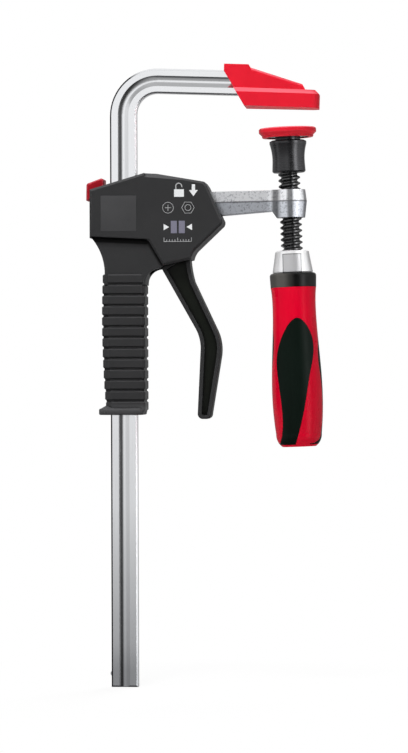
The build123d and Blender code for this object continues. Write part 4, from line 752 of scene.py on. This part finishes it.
def spindle_place():
    """From heights along the spindle's axis, in metres, to the clamp's frame."""
    across = Vector((cos(SPINDLE_LEAN), 0.0, sin(SPINDLE_LEAN)))
    up = Vector((-sin(SPINDLE_LEAN), 0.0, cos(SPINDLE_LEAN)))
    turn = Matrix((across, Vector((0.0, 1.0, 0.0)), up)).transposed().to_4x4()
    return Matrix.Translation(SPINDLE_HEAD) @ turn


def piece_from(shape, name, body, smooth_angle=None):
    """Makes a bmesh an object that rides on a body."""
    mesh = bpy.data.meshes.new(name)
    shape.to_mesh(mesh)
    shape.free()
    piece = bpy.data.objects.new(name, mesh)
    bpy.context.scene.collection.objects.link(piece)
    if smooth_angle is not None:
        for face in mesh.polygons:
            face.use_smooth = True
        mesh.set_sharp_from_angle(angle=smooth_angle)
    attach(piece, body)
    return piece


def turned_rod(shape, profile, steps=48):
    """Adds a rod to a bmesh, spun from a profile of radius and height that ends on the axis."""
    corners = [shape.verts.new((radius, 0.0, height)) for radius, height in profile]
    edges = [shape.edges.new(pair) for pair in zip(corners, corners[1:])]
    bmesh.ops.spin(
        shape,
        geom=corners + edges,
        cent=(0.0, 0.0, 0.0),
        axis=(0.0, 0.0, 1.0),
        dvec=(0.0, 0.0, 0.0),
        angle=tau,
        steps=steps,
        use_merge=True,
        use_duplicate=False,
    )


# ---- operators ----

class CLAMP_OT_dark_mouldings(bpy.types.Operator):
    """Finish the housing, the grip and the pump lever"""

    bl_idname = "clamp.dark_mouldings"
    bl_label = "Dark mouldings"

    def execute(self, context):
        look = context.scene.clamp_finish
        colour = tuple(look.moulding_grey)
        housing = moulding_finish("housing_moulding", colour, look.edge_round)
        coat_nodes(housing, "housing_front", "housing_back")
        coat_nodes(lever_finish("lever_moulding", colour, look.edge_round), "lever")
        return {"FINISHED"}


class CLAMP_OT_red_mouldings(bpy.types.Operator):
    """Finish the jaw cap, the pad cap, the release tab and the handle's core"""

    bl_idname = "clamp.red_mouldings"
    bl_label = "Red mouldings"

    def execute(self, context):
        look = context.scene.clamp_finish
        red = red_moulding_finish("jaw_red_moulding", tuple(look.jaw_red), look.edge_round)
        coat_nodes(red, "jaw_cap", "pad_cap")
        # painted shade: the release tab takes the jaw red darkened to 0.42
        tab = red_moulding_finish("tab_shaded_red_moulding", shade(look.jaw_red, 0.42), 3 * look.edge_round)
        coat_nodes(tab, "release_tab")
        coat_nodes(handle_core_finish("handle_core_gloss", tuple(look.handle_red)), "handle_core")
        return {"FINISHED"}


class CLAMP_OT_soft_inlays(bpy.types.Operator):
    """Finish the handle's soft inlays and its ring"""

    bl_idname = "clamp.soft_inlays"
    bl_label = "Soft inlays"

    def execute(self, context):
        inlay = soft_grip_finish("inlay_rubber", (0.0030, 0.0066, 0.0046), 0.42, 0.07)
        coat_nodes(inlay, "handle_inlays")
        ring = soft_grip_finish("ring_rubber", (0.005, 0.005, 0.005), 0.32, 0.14, side_sheen_share=0.85)
        coat_nodes(ring, "handle_ring")
        return {"FINISHED"}


class CLAMP_OT_bright_steel(bpy.types.Operator):
    """Finish the bar, the forging, the ferrule, pins, plates, springs and screws"""

    bl_idname = "clamp.bright_steel"
    bl_label = "Bright steel"

    def execute(self, context):
        look = context.scene.clamp_finish
        coat_nodes(nickel_finish("bar_nickel", tuple(look.nickel)), "rail")
        coat_nodes(forging_finish("arm_forging"), "slide_arm")
        coat_nodes(ferrule_finish("ferrule_satin"), "ferrule")
        ground = turned_finish("pin_ground", (0.66, 0.66, 0.67), 0.22)
        coat_nodes(ground, "fulcrum_pin", "lever_pin", "handle_pin")
        hardened = turned_finish("plate_hardened", (0.34, 0.34, 0.35), 0.36)
        coat_nodes(hardened, "brake_plate", "drive_plate")
        drawn = turned_finish("spring_drawn", (0.42, 0.42, 0.43), 0.30)
        coat_nodes(drawn, "brake_spring", "drive_spring", "retaining_ring")
        blackened = turned_finish("screw_blackened", (0.06, 0.06, 0.062), 0.34, metal=0.8)
        coat_nodes(blackened, "housing_screws")
        return {"FINISHED"}


class CLAMP_OT_black_oxide(bpy.types.Operator):
    """Finish the swivel collar and the pressure plate"""

    bl_idname = "clamp.black_oxide"
    bl_label = "Black oxide"

    def execute(self, context):
        black = turned_finish("collar_black_oxide", (0.052, 0.052, 0.055), 0.27, metal=0.8)
        coat_nodes(black, "swivel_collar", "pressure_plate")
        return {"FINISHED"}


class CLAMP_OT_spindle_thread(bpy.types.Operator):
    """Cut the thread on the spindle"""

    bl_idname = "clamp.spindle_thread"
    bl_label = "Spindle thread"

    def execute(self, context):
        size = context.scene.clamp_thread
        pitch = size.pitch
        crest = size.major_radius
        root = size.minor_radius
        top = -COLLAR_FOOT_DEPTH * MM
        foot = -(FERRULE_TOP_DEPTH + 3.0) * MM
        turns = int((top - foot) / pitch) + 3
        shape = bmesh.new()
        start = foot - pitch
        one_pitch = (
            (crest, 0.00),
            (crest, 0.22),
            (root + 0.0002, 0.46),
            (root, 0.54),
            (root, 0.66),
            (root + 0.0002, 0.76),
            (crest, 1.00),
        )
        corners = [shape.verts.new((radius, 0.0, start + share * pitch)) for radius, share in one_pitch]
        edges = [shape.edges.new(pair) for pair in zip(corners, corners[1:])]
        bmesh.ops.rotate(shape, verts=corners, cent=(0, 0, 0), matrix=Matrix.Rotation(size.turn, 3, "Z"))
        bmesh.ops.spin(
            shape,
            geom=corners + edges,
            cent=(0.0, 0.0, 0.0),
            axis=(0.0, 0.0, 1.0),
            dvec=(0.0, 0.0, pitch / size.steps),
            angle=tau * turns,
            steps=size.steps * turns,
            use_merge=False,
            use_duplicate=False,
        )
        bmesh.ops.remove_doubles(shape, verts=shape.verts, dist=0.000004)
        for height, way in ((top, 1.0), (foot, -1.0)):
            cut = bmesh.ops.bisect_plane(
                shape,
                geom=shape.verts[:] + shape.edges[:] + shape.faces[:],
                dist=0.0000005,
                plane_co=(0.0, 0.0, height),
                plane_no=(0.0, 0.0, way),
                clear_outer=True,
            )
            rim = [item for item in cut["geom_cut"] if isinstance(item, bmesh.types.BMEdge)]
            bmesh.ops.contextual_create(shape, geom=rim)
        bmesh.ops.recalc_face_normals(shape, faces=shape.faces)
        bevel = 0.0005
        sunk = top - ROD_OVERLAP
        journal = (
            (0.0, JOURNAL_TOP),
            (JOURNAL_RADIUS - bevel, JOURNAL_TOP),
            (JOURNAL_RADIUS, JOURNAL_TOP - bevel),
            (JOURNAL_RADIUS, sunk),
            (0.0, sunk),
        )
        turned_rod(shape, journal)
        shank = crest - 0.0001
        raised = foot + ROD_OVERLAP
        tang_foot = -TANG_FOOT_DEPTH * MM
        turned_rod(shape, ((0.0, raised), (shank, raised), (shank, tang_foot), (0.0, tang_foot)))
        bmesh.ops.remove_doubles(shape, verts=shape.verts, dist=0.000002)
        bmesh.ops.recalc_face_normals(shape, faces=shape.faces)
        bmesh.ops.transform(shape, matrix=spindle_place(), verts=shape.verts)
        piece = piece_from(shape, "threaded_spindle", "screw", radians(24))
        coat(piece, turned_finish("thread_black_oxide", (0.096, 0.096, 0.098), 0.24, metal=0.9))
        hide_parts("spindle")
        return {"FINISHED"}


class CLAMP_OT_bare_plate(bpy.types.Operator):
    """Set the bare square plate into the housing's head"""

    bl_idname = "clamp.bare_plate"
    bl_label = "Bare plate"

    def execute(self, context):
        low = Vector((HEAD_PLATE_LEFT, HEAD_FRONT_Y - 0.00012, HEAD_PLATE_FOOT))
        high = Vector((HEAD_PLATE_RIGHT, HEAD_FRONT_Y + 0.00060, HEAD_PLATE_TOP))
        shape = bmesh.new()
        bmesh.ops.create_cube(shape, size=1.0)
        bmesh.ops.scale(shape, vec=high - low, verts=shape.verts)
        bmesh.ops.translate(shape, vec=(low + high) / 2, verts=shape.verts)
        bmesh.ops.bevel(
            shape,
            geom=shape.edges[:],
            offset=0.00011,
            offset_type="OFFSET",
            affect="EDGES",
            segments=2,
            profile=0.5,
            material=-1,
        )
        piece = piece_from(shape, "bare_head_plate", "slider", radians(30))
        look = context.scene.clamp_finish
        plate = moulding_finish(
            "head_plate_moulding",
            tuple(look.moulding_grey),
            0.0001,
            grain=0.00001,
            shine=0.40,
            light=1.75,
        )
        coat(piece, plate)
        return {"FINISHED"}


class CLAMP_OT_use_picture(bpy.types.Operator):
    """Print plain workshop signs on the housing"""

    bl_idname = "clamp.use_picture"
    bl_label = "Use picture"

    def execute(self, context):
        size = context.scene.clamp_label
        centre = Vector((PRINT_MIDDLE_X, HEAD_FRONT_Y - size.proud, PRINT_MIDDLE_Z))
        lines = bpy.data.curves.new("use_picture_lines", "CURVE")
        lines.dimensions = "3D"
        lines.bevel_depth = size.line
        lines.bevel_resolution = 1
        lines.use_fill_caps = True
        for closed, points in use_picture_strokes():
            stroke = lines.splines.new("POLY")
            stroke.points.add(len(points) - 1)
            for point, (right, up) in zip(stroke.points, points):
                point.co = (right * MM, 0.0, up * MM, 1.0)
            stroke.use_cyclic_u = closed
        holder = bpy.data.objects.new("use_picture_lines", lines)
        mesh = bpy.data.meshes.new_from_object(holder)
        bpy.data.objects.remove(holder)
        shape = bmesh.new()
        shape.from_mesh(mesh)
        bpy.data.meshes.remove(mesh)
        bmesh.ops.scale(shape, vec=(1.0, 2.0 * size.proud / size.line, 1.0), verts=shape.verts)
        bmesh.ops.translate(shape, vec=centre, verts=shape.verts)
        piece = piece_from(shape, "use_picture", "slider")
        white = print_finish("label_print", tuple(size.print_colour))
        coat(piece, print_finish("label_line_print", shade(size.print_colour, size.line_share)))
        patches = tuple(use_picture_patches())
        grey = print_finish("label_grey_print", (0.17, 0.165, 0.22))
        self.fill("use_picture_greys", patches[:2], centre, size.proud, grey)
        self.fill("use_picture_marks", patches[2:], centre, size.proud, white)
        return {"FINISHED"}

    def fill(self, name, patches, centre, proud, material):
        """Flat printed patches."""
        shape = bmesh.new()
        for patch in patches:
            corners = [shape.verts.new((right * MM, 0.0, up * MM)) for right, up in patch]
            sides = [shape.edges.new(pair) for pair in zip(corners, corners[1:] + corners[:1])]
            bmesh.ops.contextual_create(shape, geom=sides)
        sheet = bmesh.ops.extrude_face_region(shape, geom=shape.faces[:])
        front = [item for item in sheet["geom"] if isinstance(item, bmesh.types.BMVert)]
        bmesh.ops.translate(shape, vec=(0.0, -proud, 0.0), verts=front)
        bmesh.ops.translate(shape, vec=centre + Vector((0.0, proud, 0.0)), verts=shape.verts)
        bmesh.ops.recalc_face_normals(shape, faces=shape.faces)
        coat(piece_from(shape, name, "slider"), material)


def arc_points(centre, radius, first, last, count):
    """Points on an arc, in millimetres, between two angles in degrees."""
    angles = (radians(first + (last - first) * step / count) for step in range(count + 1))
    return [(centre[0] + radius * cos(angle), centre[1] + radius * sin(angle)) for angle in angles]


def use_picture_strokes():
    """Strokes of a screw head, a nut, a scale and an open padlock, in millimetres about their middle."""
    yield True, arc_points((-9.0, 15.5), 4.0, 0, 330, 11)
    yield False, [(-11.2, 15.5), (-6.8, 15.5)]
    yield False, [(-9.0, 13.3), (-9.0, 17.7)]
    yield True, arc_points((5.5, 15.5), 4.6, 0, 300, 5)
    yield True, arc_points((5.5, 15.5), 2.2, 0, 330, 11)
    yield False, [(-12.0, -9.0), (8.0, -9.0)]
    for tick in range(11):
        across = -12.0 + 2.0 * tick
        yield False, [(across, -9.0), (across, -7.4 if tick % 5 else -6.2)]
    yield False, [(-3.4, 28.8), *arc_points((-1.2, 31.2), 2.3, 180, 10, 6), (1.4, 30.4)]
    yield False, [(-3.0, 28.8), *arc_points((-1.2, 31.2), 1.9, 180, 10, 6), (1.0, 30.4)]


def use_picture_patches():
    """Filled patches about the same middle: two grey blocks, then white arrows and the padlock."""
    yield [(-7.0, 6.0), (-2.6, 6.0), (-2.6, -3.0), (-7.0, -3.0)]
    yield [(-1.2, 6.0), (3.2, 6.0), (3.2, -3.0), (-1.2, -3.0)]
    yield [(-12.2, 3.8), (-8.2, 1.5), (-12.2, -0.8)]
    yield [(8.4, 3.8), (8.4, -0.8), (4.4, 1.5)]
    yield [(-4.6, 28.8), (2.6, 28.8), (2.6, 23.4), (-4.6, 23.4)]
    yield [(8.3, 32.4), (10.7, 32.4), (10.7, 28.0), (8.3, 28.0)]
    yield [(6.2, 28.2), (12.8, 28.2), (9.5, 23.8)]


class CLAMP_OT_stage(bpy.types.Operator):
    """Set the floor, the lamps, the surroundings and the camera"""

    bl_idname = "clamp.stage"
    bl_label = "Stage"

    def execute(self, context):
        setting = context.scene.clamp_stage
        scene = context.scene
        self.floor()
        self.surroundings(scene)
        self.lamp("key_lamp", Vector((-1.4, -1.4, 0.9)), 1.0, setting.key_power)
        self.lamp("fill_lamp", Vector((1.6, -1.2, 0.2)), 0.9, setting.fill_power)
        self.lamp("back_lamp", Vector((0.5, 1.4, 1.5)), 0.8, setting.back_power)
        self.lamp("top_lamp", Vector((-0.15, -1.2, 1.85)), 0.6, setting.top_power)
        self.camera(scene, setting)
        scene.view_settings.view_transform = "Standard"
        return {"FINISHED"}

    def floor(self):
        shape = bmesh.new()
        bmesh.ops.create_grid(shape, x_segments=1, y_segments=1, size=6.0)
        bmesh.ops.translate(shape, vec=(TARGET.x, 0.0, cad_box[0][2] - 0.0002), verts=shape.verts)
        mesh = bpy.data.meshes.new("pale_floor")
        shape.to_mesh(mesh)
        shape.free()
        floor = bpy.data.objects.new("pale_floor", mesh)
        bpy.context.scene.collection.objects.link(floor)
        material, tree, shader = finish_tree("floor_paper")
        output = tree.nodes["Material Output"]
        shader.inputs["Base Color"].default_value = (0.80, 0.80, 0.80, 1.0)
        shader.inputs["Roughness"].default_value = 0.9
        plain = tree.nodes.new("ShaderNodeEmission")
        light_path = tree.nodes.new("ShaderNodeLightPath")
        place = parts_of(tree, local_place(tree))
        away = sums(tree, "POWER", sums(tree, "ADD", place[0], -TARGET.x), 2.0)
        back = sums(tree, "POWER", place[1], 2.0)
        reach = sums(tree, "SQRT", sums(tree, "ADD", away, back), 0.0)
        fade = graded(tree, reach, ((0.03, 0.88), (0.25, 1.0)))
        seen = times(tree, fade, light_path.outputs["Is Camera Ray"])
        surface = mixed(tree, seen, shader.outputs["BSDF"], plain.outputs["Emission"])
        tree.links.new(surface, output.inputs["Surface"])
        coat(floor, material)
        floor.visible_glossy = False

    def surroundings(self, scene):
        world = bpy.data.worlds.new("studio")
        scene.world = world
        world.use_nodes = True
        tree = world.node_tree
        tree.nodes.clear()
        output = tree.nodes.new("ShaderNodeOutputWorld")
        place = tree.nodes.new("ShaderNodeTexCoord")
        ways = parts_of(tree, place.outputs["Generated"])
        round_angle = sums(tree, "ARCTAN2", ways[0], times(tree, ways[1], -1.0))
        share = sums(tree, "ADD", sums(tree, "DIVIDE", round_angle, tau), 0.5)
        height = sums(tree, "MULTIPLY_ADD", ways[2], 0.5)
        walls = graded(tree, share, [(0.5 + turn / 360, level / WALLS_PEAK) for turn, level in WALLS])
        # in front the wall darkens towards the ground, and on the left a low dark card stands
        front = graded(tree, share, ((0.30, 0.0), (0.34, 1.0), (0.55, 1.0), (0.60, 0.0)))
        falling_stops = ((0.455, 0.35), (0.464, 0.54), (0.485, 0.85), (0.535, 1.0), (0.60, 1.0), (0.65, 0.5))
        falling = graded(tree, height, falling_stops)
        dimmed = blended(tree, front, (1.0, 1.0, 1.0), falling)
        walls = filtered(tree, walls, dimmed)
        card = graded(tree, share, ((0.205, 0.0), (0.215, 1.0), (0.259, 1.0), (0.268, 0.0)))
        low = graded(tree, height, ((0.42, 0.0), (0.44, 1.0), (0.505, 1.0), (0.55, 0.7), (0.57, 0.0)))
        walls = blended(tree, times(tree, card, low), walls, (0.012, 0.012, 0.012))
        ceiling = graded(tree, height, ((0.88, 0.0), (0.96, 1.0)))
        ground = graded(tree, height, ((0.24, 1.0), (0.33, 0.0)))
        upper = blended(tree, ceiling, walls, (0.2, 0.2, 0.2))
        side = graded(tree, share, ((0.14, 0.0), (0.18, 1.0), (0.30, 1.0), (0.34, 0.0)))
        over = graded(tree, height, ((0.68, 0.0), (0.72, 1.0), (0.90, 1.0), (0.95, 0.0)))
        upper = blended(tree, times(tree, side, over), upper, (0.02, 0.02, 0.02))
        room = blended(tree, ground, upper, (0.012, 0.012, 0.013))
        light_path = tree.nodes.new("ShaderNodeLightPath")
        white = (1.0, 1.0, 1.0, 1.0)
        mirrored = glow(tree, white, WALLS_PEAK)
        tree.links.new(room, mirrored.node.inputs["Color"])
        gloss = mixed(tree, light_path.outputs["Is Glossy Ray"], glow(tree, white, 0.10), mirrored)
        whole = mixed(tree, light_path.outputs["Is Camera Ray"], gloss, glow(tree, white, 1.0))
        tree.links.new(whole, output.inputs["Surface"])

    def lamp(self, name, place, width, power):
        data = bpy.data.lights.new(name, "AREA")
        data.shape = "SQUARE"
        data.size = width
        data.energy = power
        lamp = bpy.data.objects.new(name, data)
        lamp.location = TARGET + place
        lamp.visible_glossy = False
        lamp.rotation_euler = (-place).to_track_quat("-Z", "Y").to_euler()
        bpy.context.scene.collection.objects.link(lamp)

    def camera(self, scene, setting):
        data = bpy.data.cameras.new("camera")
        data.sensor_fit = "VERTICAL"
        data.sensor_height = SENSOR_HEIGHT
        data.lens = SENSOR_HEIGHT * setting.camera_distance * 1000.0 / PIXEL_WIDTH / FRAME_HEIGHT
        camera = bpy.data.objects.new("camera", data)
        turn = setting.camera_turn
        place = TARGET + setting.camera_distance * Vector((sin(turn), -cos(turn), 0.0))
        level = (TARGET - place).to_track_quat("-Z", "Y").to_matrix().to_4x4()
        camera.matrix_world = Matrix.Translation(place) @ level @ Matrix.Rotation(-CAMERA_ROLL, 4, "Z")
        scene.collection.objects.link(camera)
        scene.camera = camera


class CLAMP_PT_panel(bpy.types.Panel):
    """The clamp's pieces and finishes"""

    bl_idname = "CLAMP_PT_panel"
    bl_label = "Bar Clamp"
    bl_space_type = "VIEW_3D"
    bl_region_type = "UI"
    bl_category = "Bar Clamp"

    def draw(self, context):
        layout = self.layout
        scene = context.scene
        for group, names in (
            (scene.clamp_finish, ("jaw_red", "handle_red", "moulding_grey", "nickel", "edge_round")),
            (scene.clamp_thread, ("pitch", "major_radius", "minor_radius", "turn", "steps")),
            (scene.clamp_label, ("line", "proud", "print_colour", "line_share")),
            (scene.clamp_stage, ("camera_turn", "camera_distance")),
            (scene.clamp_stage, ("key_power", "fill_power", "top_power", "back_power")),
        ):
            box = layout.box()
            for name in names:
                box.prop(group, name)
        for operator in OPERATORS:
            layout.operator(operator.bl_idname)


GROUPS = (
    ("clamp_finish", BarClampFinish),
    ("clamp_thread", BarClampThread),
    ("clamp_label", BarClampLabel),
    ("clamp_stage", BarClampStage),
)
OPERATORS = (
    CLAMP_OT_stage,
    CLAMP_OT_dark_mouldings,
    CLAMP_OT_red_mouldings,
    CLAMP_OT_soft_inlays,
    CLAMP_OT_bright_steel,
    CLAMP_OT_black_oxide,
    CLAMP_OT_spindle_thread,
    CLAMP_OT_bare_plate,
    CLAMP_OT_use_picture,
)


def register():
    for _, group in GROUPS:
        bpy.utils.register_class(group)
    for name, group in GROUPS:
        setattr(bpy.types.Scene, name, bpy.props.PointerProperty(type=group))
    for operator in OPERATORS:
        bpy.utils.register_class(operator)
    bpy.utils.register_class(CLAMP_PT_panel)


def unregister():
    bpy.utils.unregister_class(CLAMP_PT_panel)
    for operator in reversed(OPERATORS):
        bpy.utils.unregister_class(operator)
    for name, group in reversed(GROUPS):
        delattr(bpy.types.Scene, name)
        bpy.utils.unregister_class(group)


def main():
    register()
    bpy.ops.clamp.stage()
    bpy.ops.clamp.dark_mouldings()
    bpy.ops.clamp.red_mouldings()
    bpy.ops.clamp.soft_inlays()
    bpy.ops.clamp.bright_steel()
    bpy.ops.clamp.black_oxide()
    bpy.ops.clamp.spindle_thread()
    bpy.ops.clamp.bare_plate()
    bpy.ops.clamp.use_picture()


if __name__ == "__main__":
    main()
